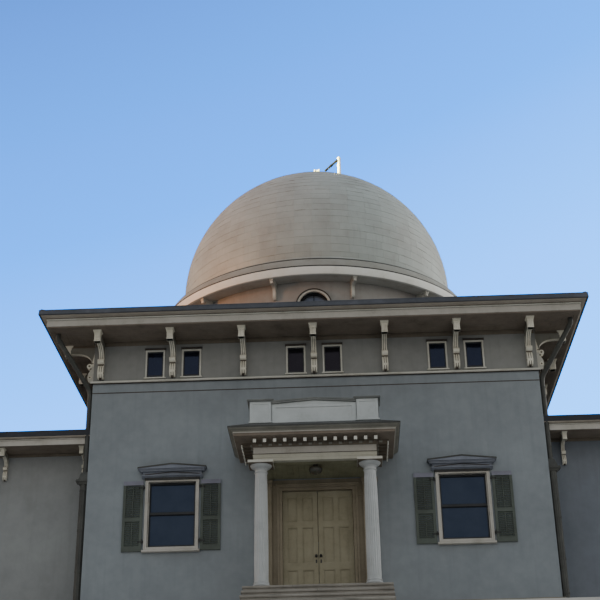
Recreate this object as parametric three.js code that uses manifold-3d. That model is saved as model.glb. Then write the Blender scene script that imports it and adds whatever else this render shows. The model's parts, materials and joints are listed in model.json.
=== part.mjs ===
// A small nineteenth-century observatory: a square stuccoed block with a bracketed eave,
// a drum and a turning dome on top, a columned porch and two low wings.
// Millimetres, +Z up. The ground is z = 0, the dome turns about the Z axis and the
// entrance front faces -Y.
import * as THREE from 'three';
import { mergeVertices } from 'three/addons/utils/BufferGeometryUtils.js';
import Module from 'manifold-3d';

const wasm = await Module();
wasm.setup();

const gap = 0.3; // between pieces that rest on each other

// Main block
const half = 5030; // half the width of the square block, to the wall face
const wallThick = 400;
const inner = half - wallThick;
const plinthTop = 600;
const plinthOut = 60;
const floorTop = 650;
const upperFloorTop = 4900;
const floorThick = 300;
const stringBottom = 5686;
const stringTop = 5746;
const stringOut = 60;
const soffit = 6715;
const eaveTop = 6966;
const gutterTop = 7079;
const gutterOut = 1087;
const roofPitch = THREE.MathUtils.degToRad(10);

// Frieze windows, in pairs beside every second bracket
const friezeX = [-3625, -2795, -415, 415, 2795, 3625];
const friezeGlass = { wide: 360, bottom: 5880, top: 6440 };
const bracketX = [-4850, -3215, -1605, 0, 1605, 3215, 4850];

// Ground-floor windows
const windowX = 3150;
const glassHalf = 487;
const glassBottom = 1920;
const glassTop = 3300;
const stile = 33; // sash stile beside the glass
const meetingRail = 2640;
const hoodBottom = 3420;

// Entrance
const doorHalf = 760;
const doorTop = 3050;
const frameThick = 60;
const leafThick = 45;
const leafFace = -half + 50; // outer face of the closed leaves
const leafClear = 5;
const meetingHalf = 4.5; // half the joint between the two leaves

// Porch
const columnX = 1135;
const columnY = -6210;
const porchHalf = 1285; // outer face of the architrave
const porchFront = -6360;
const beamThick = 300;
const porchSoffit = 3290;
const porchCorniceSoffit = 3720;
const porchCorniceOut = 505;
const porchRoof = 4100;
const parapetHalf = 1365;
const parapetFront = -6450;
const pierWide = 472;

// Drum and dome
const round = 40; // sides of everything that is round in plan
const drumOut = 3850;
const drumIn = 3600;
const drumTop = 8735;
const curbTop = 9254;
const domeRadius = 3627;
const domeCentre = 10021;
const domeThick = 80;
const skirtRadius = 4040;
const skirtFoot = 9276;
const slitHalf = 450;
const slitFrontAngle = 17.5; // degrees past the zenith, towards the front
const slitBackAngle = -94; // degrees from the zenith, down the back

// Wings
const wingFront = -4280;
const wingBack = 4560;
const wingEnd = 10830;
const wingThick = 350;
const wingSoffit = 4330;
const wingEaveTop = 4520;
const wingGutterTop = 4625;
const wingOut = 725;
const sideDoor = { half: 450, top: 2750 };

const paint = (color, roughness = 0.6, metalness = 0) =>
  new THREE.MeshStandardMaterial({ color, roughness, metalness });
const stucco = paint('#8d908c', 0.92);
const stone = paint('#77746d', 0.95);
const timberPaint = paint('#a9a59a', 0.6);
const whitePaint = paint('#c9c8c0', 0.6);
const boards = paint('#86715a', 0.7);
const roofMetal = paint('#45474c', 0.5, 0.6);
const domeSkin = paint('#b3b2aa', 0.45, 0.2);
const shutterPaint = paint('#6f665c', 0.7);
const doorPaint = paint('#9c8f78', 0.6);
const paleGlass = paint('#26303c', 0.08);
const milkGlass = paint('#d8d8d0', 0.3);
const iron = paint('#33312f', 0.5, 0.7);

// Shapes

function block(x0, x1, y0, y1, z0, z1) {
  const box = new THREE.BoxGeometry(x1 - x0, y1 - y0, z1 - z0);
  return box.translate((x0 + x1) / 2, (y0 + y1) / 2, (z0 + z1) / 2);
}

function outline(points) {
  return new THREE.Shape(points.map(([a, b]) => new THREE.Vector2(a, b)));
}

function pulled(shape, length, xAxis, yAxis, zAxis, start, divisions) {
  const options = { depth: length, bevelEnabled: false, curveSegments: divisions };
  const body = new THREE.ExtrudeGeometry(shape, options);
  body.applyMatrix4(new THREE.Matrix4().makeBasis(xAxis, yAxis, zAxis));
  return body.translate(...start);
}

const ex = new THREE.Vector3(1, 0, 0);
const ey = new THREE.Vector3(0, 1, 0);
const ez = new THREE.Vector3(0, 0, 1);

// a shape in (y, z) pulled along X, in (x, z) along Y and in (x, y) along Z
const alongX = (shape, x0, x1, n = 12) => pulled(shape, x1 - x0, ey, ez, ex, [x0, 0, 0], n);
const alongY = (shape, y0, y1, n = 12) =>
  pulled(shape, y1 - y0, ex, ez, ey.clone().negate(), [0, y1, 0], n);
const alongZ = (shape, z0, z1, n = 12) => pulled(shape, z1 - z0, ex, ey, ez, [0, 0, z0], n);

// points are (radius, height), anticlockwise, and the last joins the first
function turned(points, sides = round, start = 0) {
  const loop = [...points, points[0]].map(([r, z]) => new THREE.Vector2(r, z));
  return new THREE.LatheGeometry(loop, sides, start).rotateX(Math.PI / 2);
}

// a mitred ring round a square block: points are (distance out of the wall face, height)
function squareRing(points) {
  const corner = points.map(([o, z]) => [(half + o) * Math.SQRT2, z]);
  return turned(corner, 4, Math.PI / 4);
}

// an arc is drawn with twice the divisions that its shape is given
function sector(rIn, rOut, from, to, divisions) {
  const shape = new THREE.Shape();
  shape.absarc(0, 0, rOut, from, to, false);
  shape.absarc(0, 0, rIn, to, from, true);
  shape.closePath();
  return { shape, divisions: divisions / 2 };
}

function rod(from, to, radius, sides = 10) {
  const a = new THREE.Vector3(...from);
  const b = new THREE.Vector3(...to);
  const way = b.clone().sub(a);
  const body = new THREE.CylinderGeometry(radius, radius, way.length(), sides);
  body.applyQuaternion(new THREE.Quaternion().setFromUnitVectors(ey, way.normalize()));
  return body.translate(...a.add(b).multiplyScalar(0.5).toArray());
}

// a profile of (distance out, height) points swept along a line of corners, mitred at each;
// out is on the right-hand side of the way along
function edging(profile, corners) {
  const places = corners.map(([x, y]) => new THREE.Vector2(x, y));
  const ways = places.slice(1).map((p, i) => p.clone().sub(places[i]).normalize());
  const outOf = (way) => new THREE.Vector2(way.y, -way.x);
  const vertices = [];
  places.forEach((place, i) => {
    const out = outOf(ways[Math.max(i - 1, 0)]);
    if (i > 0 && i < ways.length) out.add(outOf(ways[i]));
    for (const [o, z] of profile) vertices.push(place.x + out.x * o, place.y + out.y * o, z);
  });
  const count = profile.length;
  const faces = [];
  for (let i = 0; i < ways.length; i += 1) {
    for (let j = 0; j < count; j += 1) {
      const a = i * count + j;
      const b = i * count + ((j + 1) % count);
      faces.push(a, a + count, b + count, a, b + count, b);
    }
  }
  const flat = profile.map(([o, z]) => new THREE.Vector2(o, z));
  const last = (places.length - 1) * count;
  for (const [a, b, c] of THREE.ShapeUtils.triangulateShape(flat, [])) {
    faces.push(a, b, c, last + c, last + b, last + a);
  }
  const body = new THREE.BufferGeometry();
  body.setAttribute('position', new THREE.Float32BufferAttribute(vertices, 3));
  body.setIndex(faces);
  return body;
}

function toManifold(geometry) {
  const bare = geometry.clone();
  bare.deleteAttribute('normal');
  bare.deleteAttribute('uv');
  const welded = mergeVertices(bare, 0.01);
  const vertProperties = new Float32Array(welded.attributes.position.array);
  const triVerts = new Uint32Array(welded.index.array);
  return new wasm.Manifold(new wasm.Mesh({ numProp: 3, vertProperties, triVerts }));
}

function fromManifold(body) {
  const { vertProperties, triVerts } = body.getMesh();
  const geometry = new THREE.BufferGeometry();
  geometry.setAttribute('position', new THREE.BufferAttribute(vertProperties.slice(), 3));
  geometry.setIndex(new THREE.BufferAttribute(triVerts.slice(), 1));
  return geometry;
}

const join = (...shapes) => fromManifold(shapes.map(toManifold).reduce((a, b) => a.add(b)));
const cut = (shape, ...holes) =>
  fromManifold(holes.map(toManifold).reduce((a, b) => a.subtract(b), toManifold(shape)));

const quarter = (geometry, turns) => geometry.clone().rotateZ((turns * Math.PI) / 2);
const sides = ['front', 'right', 'back', 'left']; // quarter turns from the front
const handed = { left: -1, right: 1 };
const spread = (a, b) => [Math.min(a, b), Math.max(a, b)];

const building = new THREE.Group();
const dome = new THREE.Group();
building.add(dome);

function place(name, geometry, material, group = building) {
  geometry.computeVertexNormals();
  const mesh = new THREE.Mesh(geometry, material);
  mesh.name = name;
  group.add(mesh);
}

// Foundation and floors

const foundation = join(
  block(-half - plinthOut, half + plinthOut, -half - plinthOut, half + plinthOut, 0, plinthTop),
  block(-wingEnd - plinthOut, wingEnd + plinthOut, wingFront - plinthOut, wingBack + plinthOut,
    0, plinthTop),
);
place('foundation', foundation, stone);

const roomSide = inner - gap;
const wingRoom = {
  x: [half + gap, wingEnd - wingThick - gap],
  y: [wingFront + wingThick + gap, wingBack - wingThick - gap],
};

const groundFloor = join(
  block(-roomSide, roomSide, -roomSide, roomSide, plinthTop + gap, floorTop),
  block(-doorHalf - frameThick + gap, doorHalf + frameThick - gap, -half - plinthOut + gap,
    -inner + 50, plinthTop + gap, floorTop),
  ...Object.values(handed).flatMap((hand) => [
    block(...spread(hand * wingRoom.x[0], hand * wingRoom.x[1]), ...wingRoom.y,
      plinthTop + gap, floorTop),
    block(...spread(hand * (inner - 50), hand * (half + 50)), -sideDoor.half + gap,
      sideDoor.half - gap, plinthTop + gap, floorTop),
  ]),
);
place('ground_floor', groundFloor, boards);

const upperStair = block(-4300, -3400, 500, 3300, 4000, 5500);
const upperFloor = block(-roomSide, roomSide, -roomSide, roomSide,
  upperFloorTop - floorThick, upperFloorTop);
place('upper_floor', cut(upperFloor, upperStair), boards);

const domeStair = block(-2600, -1700, 0, 2200, 6500, 7200);
place('dome_floor', cut(block(-half, half, -half, half, soffit, eaveTop), domeStair), boards);

// Windows of the main floor, drawn for a wall whose face looks towards -Y

function windowHole(x, face, thick) {
  const reach = glassHalf + stile + 35;
  const low = glassBottom - stile - 35;
  return block(x - reach, x + reach, face - 200, face + thick + 100, low, glassTop + stile + 35);
}

function gabled(x, halfWide, low, eave, peak, y0, y1) {
  const points = [[x - halfWide, low], [x + halfWide, low], [x + halfWide, eave], [x, peak],
    [x - halfWide, eave]];
  return alongY(outline(points), y0, y1);
}

// clear is the gap left to the wall; below zero the surround is one with the wall
function windowSurround(x, face, clear) {
  const opening = glassHalf + stile;
  const low = glassBottom - stile;
  const high = glassTop + stile;
  const back = face - clear;
  const casing = join(
    block(x - opening - 65, x + opening + 65, face - 45, back, low - 60, hoodBottom),
    block(x - opening - 35 + clear, x + opening + 35 - clear, face - 10, face + 150,
      low - 35 + clear, high + 35 - clear),
    block(x - opening - 100, x + opening + 100, face - 90, back, low - 120, low - 55),
    block(x - 667, x + 667, face - 110, back, hoodBottom - 5, 3470),
    gabled(x, 640, 3465, 3560, 3630, face - 90, back),
    gabled(x, 705, 3540, 3590, 3665, face - 150, back),
    gabled(x, 750, 3585, 3630, 3710, face - 200, back),
  );
  return cut(casing, block(x - opening, x + opening, face - 300, face + 300, low, high));
}

// stiles, rails and the meeting rail of the two sashes
function sash(x, face) {
  const edge = glassHalf + stile + 5;
  const back = face + 100;
  const frame = block(x - edge, x + edge, face + 60, back, glassBottom - stile - 5,
    glassTop + stile + 5);
  const panes = [[glassBottom, meetingRail - 22], [meetingRail + 22, glassTop]];
  return cut(frame, ...panes.map(([low, high]) =>
    block(x - glassHalf, x + glassHalf, face, face + 200, low, high)));
}

const windowUnit = (x, face, clear = gap) => join(windowSurround(x, face, clear), sash(x, face));
const builtIn = -2;

// Frieze windows

function friezeHole(x) {
  const reach = friezeGlass.wide / 2 + 30;
  return block(x - reach, x + reach, -half - 200, -inner + 100, friezeGlass.bottom - 40,
    friezeGlass.top + 40);
}

function friezeFrame(x) {
  const reach = friezeGlass.wide / 2;
  const lining = block(x - reach - 30 + gap, x + reach + 30 - gap, -half - 20, -half + 90,
    friezeGlass.bottom - 40 + gap, friezeGlass.top + 40 - gap);
  const casing = block(x - reach - 55, x + reach + 55, -half - 25, -half - gap, stringTop - 5,
    friezeGlass.top + 60);
  const hood = block(x - reach - 70, x + reach + 70, -half - 70, -half - gap,
    friezeGlass.top + 55, friezeGlass.top + 92);
  const light = block(x - reach, x + reach, -half - 300, -half + 300, friezeGlass.bottom,
    friezeGlass.top);
  return cut(join(casing, lining, hood), light);
}

// Walls of the main block

const wallTop = soffit - gap;
const wallFoot = plinthTop + gap;
const doorEdge = doorHalf + frameThick;
const doorHead = doorTop + frameThick;

for (const [name, hand] of Object.entries(handed)) {
  const bay = block(...spread(hand * (doorEdge + gap), hand * half), -half, -inner,
    wallFoot, wallTop);
  const holes = friezeX.filter((x) => x * hand > doorEdge).map(friezeHole);
  place(`front_wall_${name}`, cut(bay, windowHole(hand * windowX, -half, wallThick), ...holes),
    stucco);
}
const overDoor = block(-doorEdge, doorEdge, -half, -inner, doorHead + gap, wallTop);
const middleHoles = friezeX.filter((x) => Math.abs(x) < doorEdge).map(friezeHole);
place('front_wall_over_door', cut(overDoor, ...middleHoles), stucco);

const sideWall = block(-roomSide, roomSide, -half, -inner, wallFoot, wallTop);
const sideDoorway = block(-sideDoor.half, sideDoor.half, -half - 100, -inner + 100,
  wallFoot - 50, sideDoor.top);
const sideWallCut = cut(sideWall, sideDoorway, ...friezeX.map(friezeHole));
place('right_wall', quarter(sideWallCut, 1), stucco);
place('left_wall', quarter(sideWallCut, 3), stucco);

const backWindows = [-windowX, 0, windowX];
const backWall = cut(block(-half, half, -half, -inner, wallFoot, wallTop),
  ...backWindows.map((x) => windowHole(x, -half, wallThick)), ...friezeX.map(friezeHole));
place('back_wall', quarter(join(backWall, ...backWindows.map((x) =>
  windowUnit(x, -half, builtIn))), 2), stucco);
const paneEdge = glassHalf + stile + 20;
const backPane = block(-windowX - paneEdge, windowX + paneEdge, -inner + gap, -inner + 6,
  glassBottom - 60, glassTop + 60);
place('back_glass', quarter(backPane, 2), paleGlass);

// String course, which is also the sill of the frieze windows, and the glass behind them

const pipeAt = { x: half + 66, y: -half + 85, radius: 46 };
const notch = (hand, from, z0, z1) => block(...spread(hand * (half + from),
  hand * (pipeAt.x + pipeAt.radius + 8)), pipeAt.y - 55, pipeAt.y + 55, z0, z1);

const course = squareRing([[gap, stringBottom], [stringOut - 15, stringBottom],
  [stringOut, stringBottom + 18], [stringOut, stringTop], [gap, stringTop]]);
const frames = friezeX.map(friezeFrame);
const courseWithFrames = join(course, ...sides.flatMap((_, turns) =>
  frames.map((frame) => quarter(frame, turns))));
place('string_course', cut(courseWithFrames, notch(-1, 14, 5000, 6000), notch(1, 14, 5000, 6000)),
  timberPaint);

const paneOut = -wallThick - gap;
place('frieze_glass', squareRing([[paneOut - 6, friezeGlass.bottom - 60],
  [paneOut, friezeGlass.bottom - 60], [paneOut, friezeGlass.top + 60],
  [paneOut - 6, friezeGlass.top + 60]]), paleGlass);

// Brackets: a scrolled body, a square head block and a cap board under the soffit.
// reach and tall scale the main eave's bracket to the wings' smaller one.

function bracket(x, face, foot, top, reach, wide) {
  const tall = (top - foot) / 968;
  const far = reach / 750;
  const scroll = [[0.4, 0], [60, 0], [125, 45], [155, 150], [145, 270], [112, 325], [168, 380],
    [172, 430], [142, 465], [155, 600], [230, 710], [400, 790], [590, 790], [590, 735],
    [700, 735], [700, 920], [0.4, 920]];
  const points = scroll.map(([o, z]) => [face - Math.max(o * far, gap), foot + z * tall]);
  const body = alongX(outline(points.reverse()), x - wide / 2, x + wide / 2);
  const cap = block(x - wide * 0.68, x + wide * 0.68, face - reach, face - gap,
    foot + 910 * tall, top);
  return join(body, cap);
}

const bedBoard = alongX(outline([[-half - 35, soffit - 75], [-half - gap, soffit - 75],
  [-half - gap, soffit - gap], [-half - 35, soffit - gap]]), -half + 20, half - 20);
const bracketRow = join(bedBoard, ...bracketX.map((x) =>
  bracket(x, -half, stringTop + gap, soffit - gap, 750, 140)));
sides.forEach((side, turns) =>
  place(`brackets_${side}`, quarter(bracketRow, turns), timberPaint));

// Eave of the main block: soffit, fascia and crown, then the dark roof with its gutter edge

const mainEave = squareRing([[gap, soffit], [928, soffit], [928, soffit + 100],
  [952, soffit + 108], [975, soffit + 124], [975, soffit + 166], [1000, soffit + 176],
  [1050, eaveTop], [gap, eaveTop]]);
place('main_eave', mainEave, timberPaint);

const roofRise = (half + gutterOut) * Math.tan(roofPitch);
const roofSlopes = turned([[0, eaveTop + gap], [(half + gutterOut + 11) * Math.SQRT2, eaveTop + gap],
  [(half + gutterOut) * Math.SQRT2, gutterTop], [0, gutterTop + roofRise]], 4, Math.PI / 4);
const drumShaft = new THREE.CylinderGeometry(drumOut + gap, drumOut + gap, 3000, round)
  .rotateX(Math.PI / 2).translate(0, 0, 7500);
place('main_roof', cut(roofSlopes, drumShaft), roofMetal);

// Drum: four quarters, each with a round-headed window

const archGlass = { half: 360, sill: 7720, spring: 8085 };

function arch(reach, sill, spring) {
  const shape = new THREE.Shape();
  shape.moveTo(-reach, sill);
  shape.lineTo(reach, sill);
  shape.lineTo(reach, spring);
  shape.absarc(0, spring, reach, 0, Math.PI, false);
  shape.closePath();
  return shape;
}

const quarterWall = sector(drumIn, drumOut, -0.75 * Math.PI + 0.0001, -0.25 * Math.PI, round / 4);
const drumQuarter = cut(
  join(alongZ(quarterWall.shape, eaveTop + gap, drumTop - gap, quarterWall.divisions),
    alongY(arch(archGlass.half + 110, archGlass.sill - 60, archGlass.spring), -3895, -3700, 8)),
  alongY(arch(archGlass.half, archGlass.sill, archGlass.spring), -4200, -3300, 8),
);
sides.forEach((side, turns) => place(`drum_wall_${side}`, quarter(drumQuarter, turns), stucco));

place('drum_glass', turned([[drumIn - 7, archGlass.sill - 50], [drumIn - gap, archGlass.sill - 50],
  [drumIn - gap, archGlass.spring + archGlass.half + 50],
  [drumIn - 7, archGlass.spring + archGlass.half + 50]]), paleGlass);

function drumConsole(angle) {
  const points = [[drumOut + gap, 8370], [3895, 8370], [3925, 8395], [3950, 8450], [3945, 8510],
    [3975, 8570], [4040, 8610], [4130, 8625], [4150, 8650], [4150, drumTop + 5],
    [drumOut + gap, drumTop + 5]];
  const body = alongX(outline(points.map(([r, z]) => [-r, z]).reverse()), -55, 55);
  return body.rotateZ(THREE.MathUtils.degToRad(angle));
}

const curb = turned([[drumIn, drumTop], [4220, drumTop], [4265, 8961], [4065, curbTop],
  [drumIn, curbTop]]);
const consoleAngles = Array.from({ length: 12 }, (_, i) => 15 + 30 * i);
place('drum_cornice', join(curb, ...consoleAngles.map(drumConsole)), whitePaint);

// Dome: shell in two halves with storm skirt and runner, curved cover over the slit, and its gear

function arcPoints(radius, fromHeight, count) {
  const start = Math.asin((fromHeight - domeCentre) / radius);
  return Array.from({ length: count + 1 }, (_, i) => {
    const angle = start + ((Math.PI / 2 - start) * i) / count;
    return [Math.max(radius * Math.cos(angle), 0), domeCentre + radius * Math.sin(angle)];
  });
}

// part of a ring standing in the YZ plane about the dome's centre, between two angles
// counted from the zenith, forwards positive
function hoop(rIn, rOut, backAngle, frontAngle, x0, x1, divisions) {
  const rad = THREE.MathUtils.degToRad;
  const ring = sector(rIn, rOut, rad(90 + backAngle), rad(90 + frontAngle), divisions);
  return alongX(ring.shape, x0, x1, ring.divisions).translate(0, 0, domeCentre);
}

const runner = { inner: 3640, outer: 3760 };
const shellProfile = [[3500, skirtFoot], [runner.inner, skirtFoot], [runner.inner, curbTop + gap],
  [runner.outer, curbTop + gap], [runner.outer, skirtFoot], [skirtRadius, skirtFoot],
  [skirtRadius, skirtFoot + 24], [3900, 9345], [3760, 9410], [3660, 9490],
  ...arcPoints(domeRadius, 9570, 13),
  ...arcPoints(domeRadius - domeThick, 9570, 10).reverse(), [3500, 9400]];
const coaming = { out: 3690, wide: 60 };
const slit = [slitBackAngle, slitFrontAngle];
const coamingEnds = [slitBackAngle - 1, slitFrontAngle + 1];
const raised = slitHalf + coaming.wide;
const coamingFrame = cut(
  hoop(domeRadius - domeThick + 20, coaming.out, ...coamingEnds, -raised, raised, 28),
  hoop(3000, 4000, ...slit, -slitHalf, slitHalf, 28),
);
const slitHole = hoop(3000, 4000, ...slit, -slitHalf, slitHalf, 28);
const shell = join(cut(turned(shellProfile), slitHole), coamingFrame);
for (const [name, hand] of Object.entries(handed)) {
  const otherHalf = block(...spread((hand * gap) / 2, hand * -5000), -5000, 5000, 9000, 14000);
  place(`dome_shell_${name}`, cut(shell, otherHalf), domeSkin, dome);
}

const coverOut = coaming.out + 36;
place('slit_cover', hoop(coaming.out + gap, coverOut, ...coamingEnds, -raised - 15, raised + 15, 28),
  domeSkin, dome);

// a mast beside the front end of the slit, with a raking stay and a pulley box on the cover
const gearY = -1100;
const mast = { x: 740, half: 55, top: 14060 };
const mastPost = block(mast.x - mast.half, mast.x + mast.half, gearY - mast.half,
  gearY + mast.half, 13200, mast.top);
place('shutter_mast', cut(mastPost, turned([[0, 9570], ...arcPoints(domeRadius + gap, 9570, 13)])),
  whitePaint, dome);
const underCover = hoop(3000, coverOut + gap, ...coamingEnds, -raised - 15, raised + 15, 28);
const besideMast = block(mast.x - mast.half - gap, mast.x + 200, gearY - 200, gearY + 200, 13000,
  14500);
const stay = rod([mast.x, gearY, mast.top - 40], [240, gearY, 13520], 24, 8);
place('shutter_stay', cut(stay, underCover, besideMast), iron, dome);
const pulley = join(block(30, 190, gearY - 50, gearY + 50, 13520, 13640),
  rod([110, gearY - 75, 13625], [110, gearY + 75, 13625], 45, 12));
place('shutter_pulley', cut(pulley, underCover), whitePaint, dome);

// Front windows, their shutters and glass

for (const [name, hand] of Object.entries(handed)) {
  const x = hand * windowX;
  place(`front_window_${name}`, windowUnit(x, -half), timberPaint);
  place(`front_glass_${name}`, block(x - glassHalf - stile + 1, x + glassHalf + stile - 1,
    -half + 100 + gap, -half + 106, glassBottom - stile + 1, glassTop + stile - 1), paleGlass);
}

const shutter = { inner: 630, outer: 1060, low: 1800, high: 3360, thick: 38, rail: 95 };
function shutterLeaf(x, hand) {
  const leaf = block(...spread(x + hand * shutter.inner, x + hand * shutter.outer),
    -half - shutter.thick, -half - gap, shutter.low, shutter.high);
  const edge = 60;
  const across = spread(x + hand * (shutter.inner + edge), x + hand * (shutter.outer - edge));
  const middle = 2500;
  const panels = [[shutter.low + shutter.rail, middle - shutter.rail / 2],
    [middle + shutter.rail / 2, shutter.high - shutter.rail]];
  return cut(leaf, ...panels.map(([low, high]) =>
    block(...across, -half - shutter.thick - 10, -half - shutter.thick + 12, low, high)));
}
for (const [side, hand] of Object.entries(handed)) {
  for (const [edge, way] of Object.entries(handed)) {
    place(`shutter_${side}_window_${edge}`, shutterLeaf(hand * windowX, way), shutterPaint);
  }
}

// Entrance: one surround with pilasters, and two leaves that open inwards

const doorFrame = join(
  block(-doorEdge + gap, doorEdge - gap, -half - 30, -half + 95, floorTop + gap, doorHead - gap),
  block(-porchHalf + 10, porchHalf - 10, -half - 30, -half - gap, 2900, porchSoffit - gap),
  ...Object.values(handed).flatMap((hand) => [
    block(...spread(hand * (columnX - 150), hand * (columnX + 150)), -half - 80, -half - gap,
      floorTop + gap, porchSoffit - gap),
    block(...spread(hand * (columnX - 175), hand * (columnX + 175)), -half - 100, -half - gap,
      3150, porchSoffit - gap),
    block(...spread(hand * (columnX - 175), hand * (columnX + 175)), -half - 100, -half - gap,
      floorTop + gap, 820),
    block(...spread(hand * doorHalf, hand * (doorHalf + 110)), -half - 55, -half - gap,
      floorTop + gap, doorTop + 110),
  ]),
  block(-doorHalf - 110, doorHalf + 110, -half - 55, -half - gap, doorTop, doorTop + 110),
);
const hinge = { x: doorHalf - 2.5, y: leafFace + leafThick + 9, radius: 8, from: [850, 1800, 2750] };
const leafY = [leafFace, leafFace + leafThick];
const knuckle = 60;
const knucklePin = (hand, z0, z1) => rod([hand * hinge.x, hinge.y, z0], [hand * hinge.x, hinge.y, z1],
  hinge.radius);
const framePlates = Object.values(handed).flatMap((hand) => hinge.from.flatMap((z) => [
  knucklePin(hand, z, z + knuckle),
  block(...spread(hand * hinge.x, hand * (doorHalf + 30)), leafY[1] - 6, hinge.y, z, z + knuckle),
]));
const clearOpening = block(-doorHalf, doorHalf, -half - 200, -half + 200, floorTop - 50, doorTop);
place('door_frame', join(cut(doorFrame, clearOpening), ...framePlates), timberPaint);

const panelRows = [[floorTop + 130, 1330], [1470, 2250], [2370, doorTop - 130]];
function doorLeaf(hand) {
  const leaf = block(...spread(hand * meetingHalf, hand * (doorHalf - leafClear)), ...leafY,
    floorTop + leafClear, doorTop - leafClear);
  const columns = [[95, 345], [435, 665]];
  const panels = panelRows.flatMap(([low, high]) => columns.map(([a, b]) =>
    block(...spread(hand * a, hand * b), leafY[0] - 10, leafY[0] + 11, low, high)));
  const hinges = hinge.from.flatMap((z) => [
    knucklePin(hand, z + knuckle + gap, z + 2 * knuckle),
    block(...spread(hand * hinge.x, hand * (hinge.x - 45)), leafY[1] - 5, hinge.y,
      z + knuckle + gap, z + 2 * knuckle),
  ]);
  const knobX = hand * 50;
  const knob = [rod([knobX, leafY[0] - 50, 1620], [knobX, leafY[1] + 50, 1620], 11),
    new THREE.SphereGeometry(27, 8, 6).translate(knobX, leafY[0] - 55, 1620),
    new THREE.SphereGeometry(27, 8, 6).translate(knobX, leafY[1] + 55, 1620)];
  return join(cut(leaf, ...panels), ...hinges, ...knob);
}
place('door_left', doorLeaf(-1), doorPaint);
place('door_right', doorLeaf(1), doorPaint);

// Porch

const stepTread = 300;
const stepRise = floorTop / 4;
const landing = -6520;
const flight = [[-half - plinthOut - gap, 0], [-half - plinthOut - gap, floorTop],
  [landing, floorTop]];
for (let i = 1; i <= 3; i += 1) {
  flight.push([landing - (i - 1) * stepTread, floorTop - i * stepRise],
    [landing - i * stepTread, floorTop - i * stepRise]);
}
flight.push([landing - 3 * stepTread, 0]);
place('porch_steps', alongX(outline(flight), -1500, 1500), stone);

const columnProfile = [[0, floorTop + gap], [165, floorTop + gap], [178, 690], [178, 730],
  [160, 760], [145, 785], [145, 1500], [125, 3060], [140, 3075], [140, 3095], [125, 3105],
  [128, 3140], [190, 3175], [235, 3228], [0, 3228]];
for (const [name, hand] of Object.entries(handed)) {
  const shaft = new THREE.LatheGeometry(columnProfile.map(([r, z]) => new THREE.Vector2(r, z)), 16)
    .rotateX(Math.PI / 2).translate(hand * columnX, columnY, 0);
  const abacus = block(hand * columnX - 262, hand * columnX + 262, columnY - 262, columnY + 262,
    3225, porchSoffit - gap);
  place(`porch_column_${name}`, join(shaft, abacus), whitePaint);
}

const behind = -half - gap;
const beamProfile = [[-beamThick, porchSoffit], [0, porchSoffit], [0, 3434], [24, 3440],
  [24, 3471], [0, 3476], [0, 3640], [42, 3690], [42, porchCorniceSoffit - gap],
  [-beamThick, porchCorniceSoffit - gap]];
const aroundPorch = (halfWide, front) => [[-halfWide, behind], [-halfWide, front],
  [halfWide, front], [halfWide, behind]];
const ceiling = block(-porchHalf + 50, porchHalf - 50, porchFront + 50, behind, 3318, 3345);
place('porch_entablature',
  join(edging(beamProfile, aroundPorch(porchHalf, porchFront)), ceiling), timberPaint);

const corniceProfile = [[-400, porchCorniceSoffit], [porchCorniceOut - 30, porchCorniceSoffit],
  [porchCorniceOut - 30, 3690], [porchCorniceOut - 5, 3690], [porchCorniceOut - 5, 3752],
  [porchCorniceOut - 30, 3762], [porchCorniceOut - 30, 3800], [porchCorniceOut - 8, 3837],
  [porchCorniceOut, 3840], [porchCorniceOut, 3898], [80, porchRoof], [-400, porchRoof]];
const porchSlab = block(-porchHalf + 100, porchHalf - 100, porchFront + 100, behind,
  porchCorniceSoffit, porchRoof);
const frontBlocks = Array.from({ length: 13 }, (_, i) => (i - 6) * 210).map((x) =>
  block(x - 30, x + 30, porchFront - 260, porchFront - 42 - gap, 3622, porchCorniceSoffit + 5));
const sideBlocks = Object.values(handed).flatMap((hand) => Array.from({ length: 6 }, (_, i) =>
  -6230 + i * 210).map((y) => block(
  ...spread(hand * (porchHalf + 42 + gap), hand * (porchHalf + 260)), y - 30, y + 30, 3622,
  porchCorniceSoffit + 5)));
place('porch_cornice', join(edging(corniceProfile, aroundPorch(porchHalf, porchFront)),
  porchSlab, ...frontBlocks, ...sideBlocks), timberPaint);

const pierIn = parapetHalf - pierWide;
const panelTop = { end: 4525, peak: 4590 };
const parapetFoot = porchRoof + gap;
const panelShape = outline([[-pierIn - 10, parapetFoot], [pierIn + 10, parapetFoot],
  [pierIn + 10, panelTop.end], [pierIn, panelTop.end], [0, panelTop.peak], [-pierIn, panelTop.end],
  [-pierIn - 10, panelTop.end]]);
const pierTop = 4585;
const parapet = join(
  alongY(panelShape, parapetFront + 25, parapetFront + 175),
  ...Object.values(handed).flatMap((hand) => [
    block(...spread(hand * pierIn, hand * parapetHalf), parapetFront, parapetFront + pierWide,
      parapetFoot, pierTop),
    block(...spread(hand * (parapetHalf - 175), hand * (parapetHalf - 25)), parapetFront + 400,
      behind, parapetFoot, panelTop.end),
  ]),
);
place('porch_parapet', parapet, whitePaint);

const copingOver = 48;
const coping = join(
  alongY(outline([[gap - pierIn, panelTop.end + gap], [0, panelTop.peak + gap],
    [pierIn - gap, panelTop.end + gap], [pierIn - gap, pierTop + 12], [0, 4648],
    [gap - pierIn, pierTop + 12]]), parapetFront - copingOver + 25, parapetFront + 175 + copingOver),
  ...Object.values(handed).flatMap((hand) => [
    block(...spread(hand * (pierIn - copingOver), hand * (parapetHalf + copingOver)),
      parapetFront - copingOver, parapetFront + pierWide + copingOver, pierTop + gap, 4650),
    block(...spread(hand * (parapetHalf - 175 - copingOver), hand * (parapetHalf - 25 + copingOver)),
      parapetFront + pierWide + gap, behind, panelTop.end + gap, pierTop + 12),
  ]),
);
place('porch_coping', coping, roofMetal);

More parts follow.
